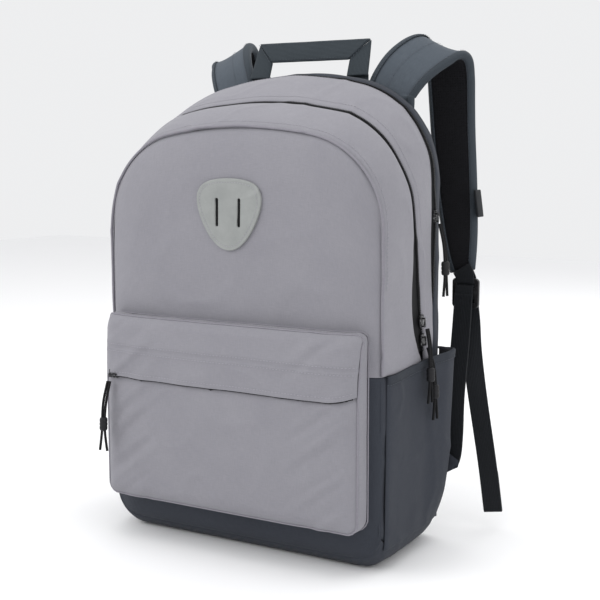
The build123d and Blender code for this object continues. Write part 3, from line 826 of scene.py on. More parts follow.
def zip_half(name, line, low, high, foot, sink, columns=160, bulge=lambda z: 0.0):
    """Half a zip's tape and coil: low and high are offsets from the line, sink is its depth."""
    rows = []
    ks = [-1 + 2 * j / columns for j in range(columns + 1)]
    depths = [strip_depth(line, k, foot) for k in ks]
    zs = [strip_point(y, k, foot).z for y, k in zip(depths, ks)]
    steps = 6
    for i in range(steps + 1):
        t = i / steps
        row = []
        for k, y, z in zip(ks, depths, zs):
            a, b = low(z), high(z)
            edge = t if a < 0 else 1 - t
            row.append(strip_point(y + a + t * (b - a), k, foot, -sink + bulge(z) * edge))
        rows.append(row)
    tape = grid_piece(f"{name}_tape", rows, tape_black, skin=0.0005, smooth=0)
    near = 0.0009 if high(0.3) > 0 and low(0.3) >= 0 else -0.0009
    coil_line = [
        strip_point(y + near, k, foot, -sink + 0.0006 + bulge(z)) for k, y, z in zip(ks, depths, zs)
    ]
    coil = along_lines(f"{name}_coil", [coil_line], coil_pitch, coil_bead, coil_black)
    return tape, coil


main_tape_foot = 0.196
for part in zip_half("main_zip_lid", main_zip_y, lambda z: -front_gape(z) - 0.005, lambda z: -0.0001,
                     main_tape_foot, 0.0024):
    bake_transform(part)
    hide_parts("main_zip_lid_half")
for part in zip_half("main_zip_body", main_zip_y, lambda z: 0.0001, lambda z: rear_gape(z) + 0.005,
                     main_tape_foot, 0.0024):
    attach(part, "pack")
    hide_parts("main_zip_body_half")


def laptop_bulge(z):
    return smooth_through([(0.24, -0.001), (0.275, 0.0012), (0.318, 0.0030), (0.36, 0.0008),
        (0.42, 0.0)], z)


for half_name, low, high in (
    ("front", lambda z: -laptop_gape(z) - 0.004, lambda z: -0.0001),
    ("rear", lambda z: 0.0001, lambda z: laptop_gape(z) + 0.004),
):
    for part in zip_half(f"laptop_zip_{half_name}", lambda z: laptop_zip_y, low, high, laptop_zip_foot,
                         0.0014, bulge=laptop_bulge):
        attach(part, "pack")
        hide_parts("laptop_zip")

# ---- topstitching on the gussets ----
# A lockstitch row beside each zip and along the seams, in polyester thread close to the cloth.
stitch_step = 0.0034
stitch_bead = (0.00045, 0.00045, 0.0024)
thread_light, tree, shader = plain_surface("thread_light", (0.34, 0.33, 0.365), 0.6)
bump_on(tree, shader, noise_node(tree, place_of(tree, "Object"), 3000, 2), 0.00005, 0.5)
thread_dark, tree, shader = plain_surface("thread_dark", (0.085, 0.095, 0.115), 0.6)
bump_on(tree, shader, noise_node(tree, place_of(tree, "Object"), 3000, 2), 0.00005, 0.5)
thread_black, tree, shader = plain_surface("thread_black", (0.02, 0.02, 0.022), 0.6)
bump_on(tree, shader, noise_node(tree, place_of(tree, "Object"), 3000, 2), 0.00005, 0.5)


def strip_line(line, foot, out, columns=240):
    points = []
    for j in range(columns + 1):
        k = -1 + 2 * j / columns
        points.append(strip_point(strip_depth(line, k, foot), k, foot, out))
    return points


# The first row, in light thread along the gusset's crease ridge beside the main zip, is a stitch row that
# also serves as a painted highlight on that ridge.
rear_rows = [
    strip_line(lambda z: main_zip_y(z) + rear_gape(z) + 0.0075, colour_line + 0.002, 0.0011),
    strip_line(lambda z: laptop_zip_y - laptop_gape(z) - 0.0045, laptop_zip_foot, 0.0007),
]
stitching = along_lines("rear_gusset_stitching", rear_rows, stitch_step, stitch_bead, thread_light)
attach(stitching, "pack")
stitching = along_lines(
    "front_gusset_stitching", [strip_line(lambda z: front_y + 0.0065, 0.262, 0.0008)], stitch_step,
    stitch_bead, thread_light,
)
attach(stitching, "front_lid")

# ---- lash patch ----
# A rounded triangle of moulded grey leather with two slots for a strap, edge-stitched to the
# front panel with a row of light thread.
patch_lo, patch_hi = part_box("lash_patch")
patch_round, patch_fullness = 0.0175, 0.0055
patch_thick = 0.0022
patch_slot_x, patch_slot_half, patch_slot_length = 0.0125, 0.0019, 0.027
patch_middle = (patch_lo.z + patch_hi.z) / 2 + 0.002
patch_discs = [
    (patch_lo.x + patch_round, patch_hi.z - patch_round),
    (patch_hi.x - patch_round, patch_hi.z - patch_round),
    (-0.004, patch_lo.z + patch_round),
    (0.004, patch_lo.z + patch_round),
]


def patch_rim(inset, count=96):
    """The patch's outline: the hull of three round corners, drawn in by inset, with full sides."""
    points = []
    centre = Vector((0, (patch_hi.z + patch_lo.z) / 2 + 0.004))
    for i in range(count):
        a = 2 * math.pi * i / count
        way = Vector((math.cos(a), math.sin(a)))
        reach = [Vector(disc).dot(way) - centre.dot(way) for disc in patch_discs]
        far = patch_fullness * math.log(sum(math.exp(r / patch_fullness)
            for r in reach)) + patch_round - 0.0032
        points.append((way, far))
    hull = []
    for i, (way, far) in enumerate(points):
        after_way, after_far = points[(i + 1) % count]
        across = way.x * after_way.y - way.y * after_way.x
        x = (far * after_way.y - after_far * way.y) / across
        z = (after_far * way.x - far * after_way.x) / across
        hull.append(Vector((x, z)) * (1 - inset / Vector((x, z)).length) + centre)
    return hull


leather, tree, shader = plain_surface("patch_leather", (0.275, 0.285, 0.28), 0.5)
place = place_of(tree, "Object")
pebbles = tree.nodes.new("ShaderNodeTexVoronoi")
pebbles.feature = "DISTANCE_TO_EDGE"
pebbles.inputs["Scale"].default_value = 900
tree.links.new(place, pebbles.inputs["Vector"])
mottle = noise_node(tree, place, 60, 4)
tree.links.new(
    shade_between(tree, mottle, 0.3, 0.7, (0.25, 0.26, 0.255), (0.295, 0.305, 0.298)),
    shader.inputs["Base Color"]
)
bump_on(tree, shader, combine(tree, "MINIMUM", pebbles.outputs["Distance"], 0.25), 0.00025, 0.5)
patch_insets = [(0.0, 0.0), (0.0, 0.0016), (0.0003, 0.0021), (0.0009, 0.0023), (0.0030, 0.0023),
                (0.0038, 0.0021), (0.0046, 0.0023)]
vertices, faces = [], []
rim_count = 96
for inset, height in patch_insets:
    for p in patch_rim(inset, rim_count):
        vertices.append(front_point(p.x, p.y, 0.0004 + height))
for ring in range(len(patch_insets) - 1):
    for i in range(rim_count):
        a, b = ring * rim_count + i, ring * rim_count + (i + 1) % rim_count
        faces.append((a, b, b + rim_count, a + rim_count))
mesh = bmesh.new()
mesh_vertices = [mesh.verts.new(v) for v in vertices]
for face in faces:
    mesh.faces.new([mesh_vertices[i] for i in face])
inner = [mesh_vertices[(len(patch_insets) - 1) * rim_count + i] for i in range(rim_count)]
slots = []
for sign in (-1, 1):
    ring = []
    for i in range(16):
        a = 2 * math.pi * i / 16
        bar = patch_slot_length / 2 - patch_slot_half
        x = sign * patch_slot_x + patch_slot_half * math.cos(a)
        z = patch_middle + math.copysign(bar, math.sin(a + 1e-6)) + patch_slot_half * math.sin(a)
        ring.append(mesh.verts.new(front_point(x, z, 0.0004 + 0.0023)))
    slots.append(ring)
edges = [mesh.edges.get((a, b)) for a, b in zip(inner, inner[1:] + inner[:1])]
for ring in slots:
    edges += [mesh.edges.new((a, b)) for a, b in zip(ring, ring[1:] + ring[:1])]
bmesh.ops.triangle_fill(mesh, edges=edges, use_beauty=True, use_dissolve=False)
for ring in slots:
    low = [mesh.verts.new(v.co + Vector((0, patch_thick, 0))) for v in ring]
    for i in range(16):
        j = (i + 1) % 16
        mesh.faces.new((ring[i], ring[j], low[j], low[i]))
bmesh.ops.recalc_face_normals(mesh, faces=mesh.faces)
patch_mesh = bpy.data.meshes.new("lash_patch_leather")
mesh.to_mesh(patch_mesh)
mesh.free()
patch_mesh.shade_smooth()
patch_mesh.materials.append(leather)
patch = bpy.data.objects.new("lash_patch_leather", patch_mesh)
scene.collection.objects.link(patch)
patch.modifiers.new("facets", "WEIGHTED_NORMAL")
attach(settled(patch), "front_lid")
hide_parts("lash_patch")
rim = [front_point(p.x, p.y, 0.0027) for p in patch_rim(0.0038, rim_count)]
stitching = along_lines(
    "lash_patch_stitching", [rim + rim[:1]], 0.0030, (0.0006, 0.0006, 0.0020), thread_light,
)
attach(stitching, "front_lid")
# A black sheet under the patch, seen through its two slots: painted shade for the shadow inside them.
slot_shade_sheet = grid_piece(
    "lash_patch_slot_shade_sheet",
    [[front_point(x / 12 * 0.019, patch_middle + z / 10 * 0.0165, 0.0011) for x in range(-12, 13)]
        for z in range(-10, 11)],
    tape_black, skin=0.0006,
)
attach(slot_shade_sheet, "front_lid")

# ---- front pocket ----
# A box pocket of light melange cloth: a lower panel, an upper panel whose hem covers the zip and
# a gusset all round, joined by narrow bound seams. Two lockstitch rows cross the upper panel.
pocket_lo, pocket_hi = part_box("front_pocket_gusset")
_, flap_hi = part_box("front_pocket_upper_panel")
pocket_half, pocket_foot, pocket_top = pocket_hi.x - 0.003, pocket_lo.z, flap_hi.z
pocket_face_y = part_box("front_pocket_panel")[0].y
pocket_zip_z = 0.165
foot_corner, head_corner = 0.011, 0.005
yoke_rows = (0.1952, 0.1885)
yoke_z = sum(yoke_rows) / 2


def pocket_span(x):
    """The lowest and highest point of the pocket's face at x."""
    u = abs(x)
    low = foot_corner - math.sqrt(max(foot_corner ** 2 - max(u - pocket_half + foot_corner, 0) ** 2, 0))
    high = head_corner - math.sqrt(max(head_corner ** 2 - max(u - pocket_half + head_corner, 0) ** 2, 0))
    return pocket_foot + low, pocket_top - high


def creases(place):
    """Slanting pulls in the cloth beside the pocket's side seams."""
    from_side = (pocket_half - abs(place.x)) / 0.075
    if from_side >= 1 or from_side <= 0:
        return 0.0
    slant = place.z * 95 - math.copysign(place.x, 1) * 70 * math.copysign(1, place.x)
    wave = noise.noise(Vector((slant, place.z * 8, 3.1 * math.copysign(1, place.x))))
    return 0.0032 * wave * math.sin(math.pi * from_side) ** 1.2


def pocket_face(x, z, out=0.0):
    low, high = pocket_span(x)
    side, above, below = pocket_half - abs(x), high - z, z - low
    near = min(side, below)
    swell = 0.0045 * (1 - max(0.0, 1 - side / 0.060) ** 2) * (1 - max(0.0, 1 - below / 0.070) ** 2)
    swell *= 1 - max(0.0, 1 - above / 0.045) ** 2
    round_off = -0.0060 * max(0.0, 1 - near / 0.014) ** 2 - 0.0040 * max(0.0, 1 - above / 0.010) ** 2
    place = Vector((x, 0, z))
    stand = swell + round_off + slack(place, 0.0036) * min(1.0, near / 0.02) + creases(place)
    corner = math.exp(-((side / 0.030) ** 2 + (above / 0.030) ** 2))
    return Vector((x * (1 + 0.010 * corner), pocket_face_y - stand - out + 0.004 * corner, z))


def face_rows(low_of, high_of, columns=80, steps=30, out=lambda x, z, t: 0.0):
    rows = []
    for t in edge_steps(steps, 0.1):
        row = []
        for j in range(columns + 1):
            x = pocket_half * math.sin(math.pi / 2 * (-1 + 2 * j / columns))
            low, high = pocket_span(x)
            low, high = max(low, low_of(x)), min(high, high_of(x))
            z = low + t * (high - low)
            row.append(pocket_face(x, z, out(x, z, t)))
        rows.append(row)
    return rows


def zip_curve(x):
    """The pocket's zip line: level, turning up a little at its right-hand end."""
    return pocket_zip_z + 0.007 * max(0.0, (x - 0.112) / 0.032) ** 2


pocket_lower = grid_piece(
    "front_pocket_lower",
    face_rows(lambda x: -1, lambda x: zip_curve(x) - 0.0004, steps=40,
              out=lambda x, z, t: -0.0034 * max(0.0, 1 - (zip_curve(x) - z) / 0.010) ** 2),
    shell_light, skin=0.0012, lining=lining_grey,
)
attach(pocket_lower, "pack")
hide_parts("front_pocket_panel")


def flap_out(x, z, t):
    hem = z - zip_curve(x)
    groove = -0.0012 * math.exp(-((z - yoke_z) / 0.0014) ** 2)
    puff = 0.0011 * math.exp(-((z - yoke_z) / 0.010) ** 2)
    lift = 0.0019 if hem < 0.010 else 0.0019 - 0.0006 * min((hem - 0.010) / 0.01, 1.0)
    return lift + groove + puff - 0.0009 * max(0.0, 1 - (hem + 0.0022) / 0.0012)


pocket_upper = grid_piece(
    "front_pocket_upper",
    face_rows(lambda x: zip_curve(x) - 0.0022, lambda x: 1, steps=36, out=flap_out),
    shell_light, skin=0.0016, lining=shell_light,
)
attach(pocket_upper, "pack")
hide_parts("front_pocket_upper_panel")

zip_rows = []
for i in range(5):
    row = []
    for j in range(61):
        x = (pocket_half - 0.004) * (-1 + 2 * j / 60)
        row.append(pocket_face(x, zip_curve(x) - 0.0060 + 0.003 * i, -0.0016))
    zip_rows.append(row)
pocket_tape = grid_piece("front_pocket_zip_tape", zip_rows, tape_black, skin=0.0005, smooth=0)
coil_line = [
    pocket_face(x, zip_curve(x), -0.0004)
    for x in ((pocket_half - 0.006) * (-1 + 2 * j / 120) for j in range(121))
]
pocket_coil = along_lines("front_pocket_zip_coil", [coil_line], coil_pitch, coil_bead, coil_black)
for part in (pocket_tape, pocket_coil):
    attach(part, "pack")
    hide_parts("front_pocket_zip")


def pocket_rim(count=220):
    """Points round the face's outline with their outward way, from the middle of its foot."""
    half, foot, top = pocket_half, pocket_foot, pocket_top
    corners = [
        (half - foot_corner, foot + foot_corner, foot_corner, -90),
        (half - head_corner, top - head_corner, head_corner, 0),
        (head_corner - half, top - head_corner, head_corner, 90),
        (foot_corner - half, foot + foot_corner, foot_corner, 180),
    ]
    path = [(Vector((0, foot)), Vector((0, -1)))]
    for x, z, radius, start in corners:
        for i in range(9):
            a = math.radians(start + 90 * i / 8)
            way = Vector((math.cos(a), math.sin(a)))
            path.append((Vector((x, z)) + way * radius, way))
    path.append(path[0])
    lengths = [0.0]
    for (a, _), (b, _) in zip(path, path[1:]):
        lengths.append(lengths[-1] + (b - a).length)
    points = []
    i = 0
    for n in range(count):
        at = lengths[-1] * n / count
        while lengths[i + 1] < at:
            i += 1
        t = (at - lengths[i]) / (lengths[i + 1] - lengths[i])
        points.append((path[i][0].lerp(path[i + 1][0], t), path[i][1].lerp(path[i + 1][1], t).normalized()))
    return points


rim = pocket_rim()
gusset_rows = []
for t in edge_steps(9, 0.022, 0.003):
    row = []
    for p, way in rim:
        front = pocket_face(p.x, p.y)
        back = front_point(p.x, p.y, -0.0004)
        depth = abs(back.y - front.y)
        sag = edge_roll(t, depth, 0.0012, 0.003)
        puff = 0.0012 * math.sin(math.pi * t) * (1 + noise.noise(Vector((p.x * 40, p.y * 40, 5))))
        place = front.lerp(back, t)
        row.append(place + Vector((way.x, 0, way.y)) * (sag + puff))
    gusset_rows.append(row)
pocket_gusset = grid_piece(
    "front_pocket_gusset_cloth", gusset_rows, shell_light, skin=0.0012, lining=lining_grey, close=True,
    inside=Vector((0, pocket_face_y + 0.015, (pocket_foot + pocket_top) / 2)),
)
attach(pocket_gusset, "pack")
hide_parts("front_pocket_gusset")


def piping(name, points, radius, material, body, closed=True):
    """A bound seam: a narrow folded tape standing along a line."""
    rows = []
    count = len(points)
    for i, p in enumerate(points):
        before = points[i - 1] if closed or i else p
        after = points[(i + 1) % count] if closed or i < count - 1 else p
        along = (after - before).normalized()
        side = along.cross(Vector((0, 1, 0)))
        side = side.normalized() if side.length > 0.2 else along.cross(Vector((0, 0, 1))).normalized()
        up = along.cross(side)
        rows.append([
            p + (side * math.cos(2 * math.pi * k / 8) + up * math.sin(2 * math.pi * k / 8)) * radius
            for k in range(8)
        ])
    if closed:
        rows.append(rows[0])
    vertices = [p for row in rows[:-1] for p in row] if closed else [p for row in rows for p in row]
    faces = []
    rings = len(rows) - 1
    total = rings if closed else rings + 1
    for i in range(rings):
        for k in range(8):
            a, b = i * 8 + k, i * 8 + (k + 1) % 8
            c, d = (i + 1) % total * 8 + (k + 1) % 8, (i + 1) % total * 8 + k
            faces.append((a, b, c, d))
    if not closed:
        faces += [tuple(reversed(range(8))), tuple(range(rings * 8, rings * 8 + 8))]
    mesh = bpy.data.meshes.new(name)
    mesh.from_pydata([tuple(v) for v in vertices], [], faces)
    solid = bmesh.new()
    solid.from_mesh(mesh)
    bmesh.ops.recalc_face_normals(solid, faces=solid.faces)
    solid.to_mesh(mesh)
    solid.free()
    mesh.shade_smooth()
    mesh.materials.append(material)
    obj = bpy.data.objects.new(name, mesh)
    scene.collection.objects.link(obj)
    if body:
        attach(obj, body)
    return obj


seam_light = melange("seam_light", (0.26, 0.25, 0.28), (0.215, 0.208, 0.235), by="Object")
face_seam = [pocket_face(p.x, p.y) + Vector((way.x, 0, way.y)) * 0.0002 + Vector((0, -0.0002, 0)) for p,
    way in rim]
piping("front_pocket_seam", face_seam, 0.0010, seam_light, "pack")
back_seam = [front_point(p.x, p.y, 0.0006) + Vector((way.x, 0, way.y)) * 0.0009 for p, way in rim]
piping("front_pocket_rear_seam", back_seam, 0.0008, seam_light, "pack")

rows = []
for z in yoke_rows:
    rows.append([pocket_face(x, z, 0.0027)
        for x in ((pocket_half - 0.003) * (-1 + j / 80) for j in range(161))])
rows.append([
    pocket_face(x, zip_curve(x) + 0.0026, 0.0020)
    for x in ((pocket_half - 0.004) * (-1 + j / 80) for j in range(161))
])
top_row = []
for j in range(121):
    x = (pocket_half - 0.008) * (-1 + j / 60)
    edge, back = pocket_face(x, pocket_top), front_point(x, pocket_top, -0.0004)
    top_row.append(edge.lerp(back, 0.30) + Vector((0, 0, 0.0013)))
rows.append(top_row)
stitching = along_lines("front_pocket_stitching", rows, stitch_step, stitch_bead, thread_light)
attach(stitching, "pack")

# ---- front seam ----
# The bound seam between the front panel and the front gusset, in the light cloth, turned to the
# outside all round the arch.
front_seam = piping(
    "front_seam_binding", strip_line(lambda z: front_y + 0.0003, colour_line + 0.001, 0.0003, columns=320),
    0.0013, seam_light, None, closed=False,
)
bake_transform(front_seam)

# ---- side pockets ----
# One dark panel each, sewn flat to the bag at its front seam and foot and standing off towards
# the rear, where a pleat gives it room for a bottle. The slanting top edge is a folded hem.
side_lo, side_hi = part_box("side_pocket_right")
_, hem_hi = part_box("side_pocket_hem_right")
side_foot = side_lo.z
mouth_front_z, mouth_rear_z = 0.182, hem_hi.z
pocket_front_end, pocket_rear_end = side_lo.y, side_hi.y
# along the pocket from front to rear: depth and the distance out from the middle plane
side_plan = [
    (pocket_front_end, 0.1553), (-0.050, 0.1566), (-0.030, 0.1576), (0.000, 0.1580), (0.015, 0.1588),
    (0.030, 0.1632), (0.046, side_hi.x - 0.0006), (0.055, side_hi.x),
]


def side_pocket_point(y, z, sign, out=0.0):
    """The panel's surface; towards its foot it falls in to the bag's own side."""
    fullness = smooth_through([(side_foot, 0.0), (0.055, 0.62), (0.110, 0.92), (mouth_rear_z, 1.0)], z)
    flat = outline_point(y, side_share_at(y, max(z, base_corner))).x + 0.0018
    x = smooth_through(side_plan, y)
    x = flat + max(x - flat, 0.0006) * fullness
    place = Vector((sign * x, y, z))
    wave = slack(place, 0.0034) * min(1.0, (y - pocket_front_end) / 0.02)
    return place + Vector((sign * (out + wave), 0, 0))


def mouth_height(y):
    share = (y - pocket_front_end) / (pocket_rear_end - pocket_front_end)
    return mouth_front_z + (mouth_rear_z - mouth_front_z) * share ** 1.3


# A darker copy of the shell's dark cloth for the folded hem: painted shade on the turned-over edge and in
# the pocket mouth.
shell_dark_painted_shade = melange("shell_dark_hem_painted_shade", (0.034, 0.039, 0.049), (0.026, 0.030, 0.038))
for side_name, sign in (("left", -1), ("right", 1)):
    plan = [pocket_front_end + (0.055 - pocket_front_end) * i / 46 for i in range(47)]
    rows = []
    for t in edge_steps(34, 0.17, 0.0035):
        row = []
        for y in plan:
            z = side_foot + t * (mouth_height(y) - side_foot)
            edge = min((y - pocket_front_end) / 0.004, 1.0)
            dip = edge_roll(min(t, 0.5), 0.17) - 0.0014 * (1 - edge) ** 2
            row.append(side_pocket_point(y, z, sign, dip))
        outer = row[-1]
        for a in (25, 50, 75, 100, 130):
            turn = math.radians(a)
            inward = 0.0055 * (1 - math.cos(turn))
            back = 0.0055 * math.sin(turn)
            row.append(Vector((outer.x - sign * inward, outer.y + back, outer.z)))
        last = row[-1]
        row.append(Vector((sign * (rear_half + 0.0022), rear_y + 0.0005, last.z)).lerp(last, 0.5))
        row.append(Vector((sign * (rear_half + 0.0022), rear_y - 0.0005, last.z)))
        rows.append(row)
    panel = grid_piece(
        f"side_pocket_panel_{side_name}", rows, shell_dark, skin=0.0014, lining=lining_grey,
        inside=Vector((0, 0, 0.1)),
    )
    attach(panel, "pack")
    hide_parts(f"side_pocket_{side_name}")
    top = [p for p in rows[-1]]
    below = [p for p in rows[-5]]
    hem_rows = []
    profile = [(0.9, 0.0007), (0.45, 0.0012), (0.0, 0.0012), (-0.12, 0.0006), (-0.15, -0.0006),
        (-0.12, -0.0020),
               (0.2, -0.0024)]
    for share, out in profile:
        row = []
        for high, low in zip(top, below):
            down = (low - high).normalized() * 0.0085
            row.append(high + down * share + Vector((sign * out, 0, 0)))
        hem_rows.append(row)
    hem = grid_piece(
        f"side_pocket_hem_cloth_{side_name}", hem_rows, shell_dark_painted_shade, skin=0.0005, smooth=1,
        inside=Vector((0, 0, 0.1)),
    )
    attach(hem, "pack")
    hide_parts(f"side_pocket_hem_{side_name}")
    row = [high + (low - high).normalized() * 0.0066 + Vector((sign * 0.0013, 0, 0)) for high,
        low in zip(top, below)]
    stitching = along_lines(f"side_pocket_stitching_{side_name}", [row], stitch_step, stitch_bead,
        thread_dark)
    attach(stitching, "pack")

# ---- back panel ----
# Black spacer mesh over foam, sewn into the rear seam, with two raised mesh pads and an air
# channel between them. The pads are soft, so they crown between their sewn edges.


def spacer_mesh(name, colour, pitch, by="UV"):
    """Knitted spacer mesh: rows of small round holes through a matt black net, the holes painted darker as
    painted shade inside them.
    """
    material, tree, shader = plain_surface(name, colour, 0.9)
    place = place_of(tree, by)
    holes = tree.nodes.new("ShaderNodeTexVoronoi")
    holes.inputs["Scale"].default_value = 1.0 / pitch
    holes.inputs["Randomness"].default_value = 0.25
    tree.links.new(place, holes.inputs["Vector"])
    net = combine(tree, "MINIMUM", holes.outputs["Distance"], 0.42)
    fuzz = noise_node(tree, place, 1200, 3)
    # The holes are painted dark as painted shade seen through them; the fuzz below is random tone.
    paint = shade_between(tree, net, 0.16, 0.36, tone(colour, 0.35), tone(colour, 1.8))
    worn = mixed(tree, 1.0, paint, shade_between(tree, fuzz, 0.3, 0.7, (0.75,) * 3, (1.0,) * 3), "MULTIPLY")
    tree.links.new(worn, shader.inputs["Base Color"])
    shader.inputs["Sheen Weight"].default_value = 0.01
    bump_on(tree, shader, net, 0.0012, 0.9)
    return material


mesh_black = spacer_mesh("mesh_black", (0.006, 0.006, 0.0075), 0.0026)
rows = []
back_rings = [(0.0, -0.0035, 0.0), (0.0, -0.0008, 0.0), (-0.0012, 0.0012, 0.0), (-0.0040, 0.0024, 0.2)]
back_rings += [(-0.010 - 0.014 * i, 0.0034, min(1.0, 0.4 + 0.2 * i)) for i in range(8)]
ring_count = 132
ring_shares = [2 * i / ring_count - 1 for i in range(ring_count)]
ring_centre = Vector((0, rear_y, 0.225))
for inward, back, soft in back_rings:
    row = []
    for s in ring_shares:
        edge = outline_point(rear_y, s)
        reach = (edge - ring_centre).length
        place = ring_centre + (edge - ring_centre) * max(0.02, (reach + inward) / reach)
        if inward < -0.09:
            place = ring_centre + (edge - ring_centre) * max(0.0, (reach + inward * 1.15) / reach)
        row.append(Vector((place.x, rear_y + back + slack(place, 0.0015) * soft, place.z)))
    rows.append(row)
for share in (0.36, 0.22, 0.10, 0.02, 0.002):
    row = []
    for s in ring_shares:
        place = ring_centre + (outline_point(rear_y, s) - ring_centre) * share
        row.append(Vector((place.x, rear_y + 0.0034 + slack(place, 0.0015), place.z)))
    rows.append(row)
back_cover = grid_piece(
    "back_panel_mesh", rows, mesh_black, skin=0.0015, close=True, inside=ring_centre - Vector((0, 0.05, 0)),
)
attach(back_cover, "pack")
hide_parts("back_panel_cover")


def sheet_pair(name, rows_out, rows_in, material):
    """A closed pad of two cloth grids sewn together round their edge, with its cloth map."""
    count, width = len(rows_out), len(rows_out[0])
    vertices = [p for row in rows_out for p in row]
    index_in = {}
    for i, row in enumerate(rows_in):
        for j, p in enumerate(row):
            if i in (0, count - 1) or j in (0, width - 1):
                index_in[i, j] = i * width + j
            else:
                index_in[i, j] = len(vertices)
                vertices.append(p)
    faces, corners = [], []
    for i in range(count - 1):
        for j in range(width - 1):
            places = ((i, j), (i, j + 1), (i + 1, j + 1), (i + 1, j))
            faces.append([a * width + b for a, b in places])
            corners.append(places)
            places = tuple(reversed(places))
            faces.append([index_in[place] for place in places])
            corners.append(places)
    obj = new_piece(name, vertices, faces, material)
    cloth_map = obj.data.uv_layers.new(name="cloth")
    across = sum((row[-1] - row[0]).length for row in rows_out) / count / (width - 1)
    down = sum((a[width // 2] - b[width // 2]).length for a, b in zip(rows_out, rows_out[1:])) / (count - 1)
    for polygon, places in zip(obj.data.polygons, corners):
        for k, (i, j) in zip(polygon.loop_indices, places):
            cloth_map.data[k].uv = (j * across, i * down)
    solid = bmesh.new()
    solid.from_mesh(obj.data)
    bmesh.ops.recalc_face_normals(solid, faces=solid.faces)
    solid.to_mesh(obj.data)
    solid.free()
    return obj


def inflate(obj, held, pressure, frames, most, slackness=0.0, stiffness=12.0, weight=0.25):
    """Blows a sewn pad up gently as cloth, with its seams held, and keeps the result."""
    rest = [v.co.copy() for v in obj.data.vertices]
    group = obj.vertex_groups.new(name="seams")
    group.add(list(held), 1.0, "REPLACE")
    modifier = obj.modifiers.new("cloth", "CLOTH")
    settings = modifier.settings
    settings.quality = 6
    settings.mass = weight
    settings.tension_stiffness = settings.compression_stiffness = stiffness
    settings.shear_stiffness = stiffness / 2
    settings.bending_stiffness = 0.6
    settings.use_pressure = True
    settings.uniform_pressure_force = pressure
    settings.shrink_min = -slackness
    settings.vertex_group_mass = "seams"
    settings.effector_weights.gravity = 0.0
    modifier.collision_settings.use_collision = False
    modifier.collision_settings.use_self_collision = False
    modifier.point_cache.frame_start = 1
    modifier.point_cache.frame_end = frames
    for frame_number in range(1, frames + 1):
        scene.frame_set(frame_number)
    evaluated = obj.evaluated_get(bpy.context.evaluated_depsgraph_get())
    moved = [v.co.copy() for v in evaluated.data.vertices]
    obj.modifiers.remove(modifier)
    scene.frame_set(1)
    for vertex, before, after in zip(obj.data.vertices, rest, moved):
        step = after - before
        if step.length > most:
            step = step.normalized() * most
        vertex.co = before + step


def smoothed(obj, levels=1):
    subdivision = obj.modifiers.new("smooth", "SUBSURF")
    subdivision.levels = subdivision.render_levels = levels
    return settled(obj)


for side_name, sign in (("left", -1), ("right", 1)):
    pad_lo, pad_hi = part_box(f"back_pad_{side_name}")
    middle_x, middle_z = (pad_lo.x + pad_hi.x) / 2, (pad_lo.z + pad_hi.z) / 2
    half_x, half_z = (pad_hi.x - pad_lo.x) / 2, (pad_hi.z - pad_lo.z) / 2
    round_corner = 0.020
    columns, steps = 16, 52
    outer_rows, inner_rows = [], []
    for i in range(steps + 1):
        v = -1 + 2 * i / steps
        z = half_z * v
        over = max(abs(z) - half_z + round_corner, 0.0)
        reach = half_x - round_corner + math.sqrt(max(round_corner ** 2 - over ** 2, 1e-8))
        if i in (0, steps):
            reach = half_x - round_corner
        outer, inner = [], []
        for j in range(columns + 1):
            x = reach * (-1 + 2 * j / columns)
            edge = min(reach - abs(x), half_z - abs(z))
            rise = 0.0035 * min(1.0, edge / 0.010)
            outer.append(Vector((middle_x + x, back_y + 0.0008 + rise, middle_z + z)))
            inner.append(Vector((middle_x + x, back_y + 0.0006, middle_z + z)))
        outer_rows.append(outer)
        inner_rows.append(inner)
    pad = sheet_pair(f"back_pad_{side_name}_mesh", outer_rows, inner_rows, mesh_black)
    back_side = [v.index for v in pad.data.vertices if v.co.y < back_y + 0.00085]
    quilt_rows = [steps // 3, 2 * steps // 3]
    seams = back_side + [i * (columns + 1) + j for i in quilt_rows for j in range(columns + 1)]
    inflate(pad, seams, 2.5, 14, 0.0035)
    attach(smoothed(pad), "pack")
    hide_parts(f"back_pad_{side_name}")

# ---- carry handle ----
# A wide woven band folded square at both ends, two layers thick, its feet sewn into the top seam
# through two small patches on the back panel.
_, handle_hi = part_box("carry_handle_face")
handle_pivot = Vector((0, 0.064, 0.4615))
handle_lean = math.radians(22)
handle_up = Vector((0, math.sin(handle_lean), math.cos(handle_lean)))
handle_out = Vector((0, -math.cos(handle_lean), math.sin(handle_lean)))
handle_layer = 0.0016
handle_cloth = ribbed_tape("handle_band", (0.026, 0.034, 0.041), 0.0016)


def handle_place(x, up, out=0.0):
    return handle_pivot + Vector((x, 0, 0)) + handle_up * up + handle_out * out


def handle_band(name, segments, out, thickness, steps=10):
    """A flat band from quads (outer start, inner start, outer end, inner end) in the handle's plane."""
    rows = []
    for outer_a, inner_a, outer_b, inner_b, count in segments:
        for i in range(count + 1):
            if rows and i == 0:
                continue
            t = i / count
            outer = Vector(outer_a).lerp(Vector(outer_b), t)
            inner = Vector(inner_a).lerp(Vector(inner_b), t)
            row = []
            for j in range(steps + 1):
                p = outer.lerp(inner, j / steps)
                edge = min(j, steps - j) / steps
                soft = 0.0005 * math.sin(math.pi * j / steps) + 0.0004 * noise.noise(Vector((p.x * 50,
                    p.y * 60, 2)))
                row.append(handle_place(p.x, p.y, out + soft - 0.0006 * max(0.0, 1 - edge / 0.08)))
            rows.append(row)
    return grid_piece(
        name, rows, handle_cloth, skin=thickness, inside=handle_place(0, 0.02, out - 0.02),
    )


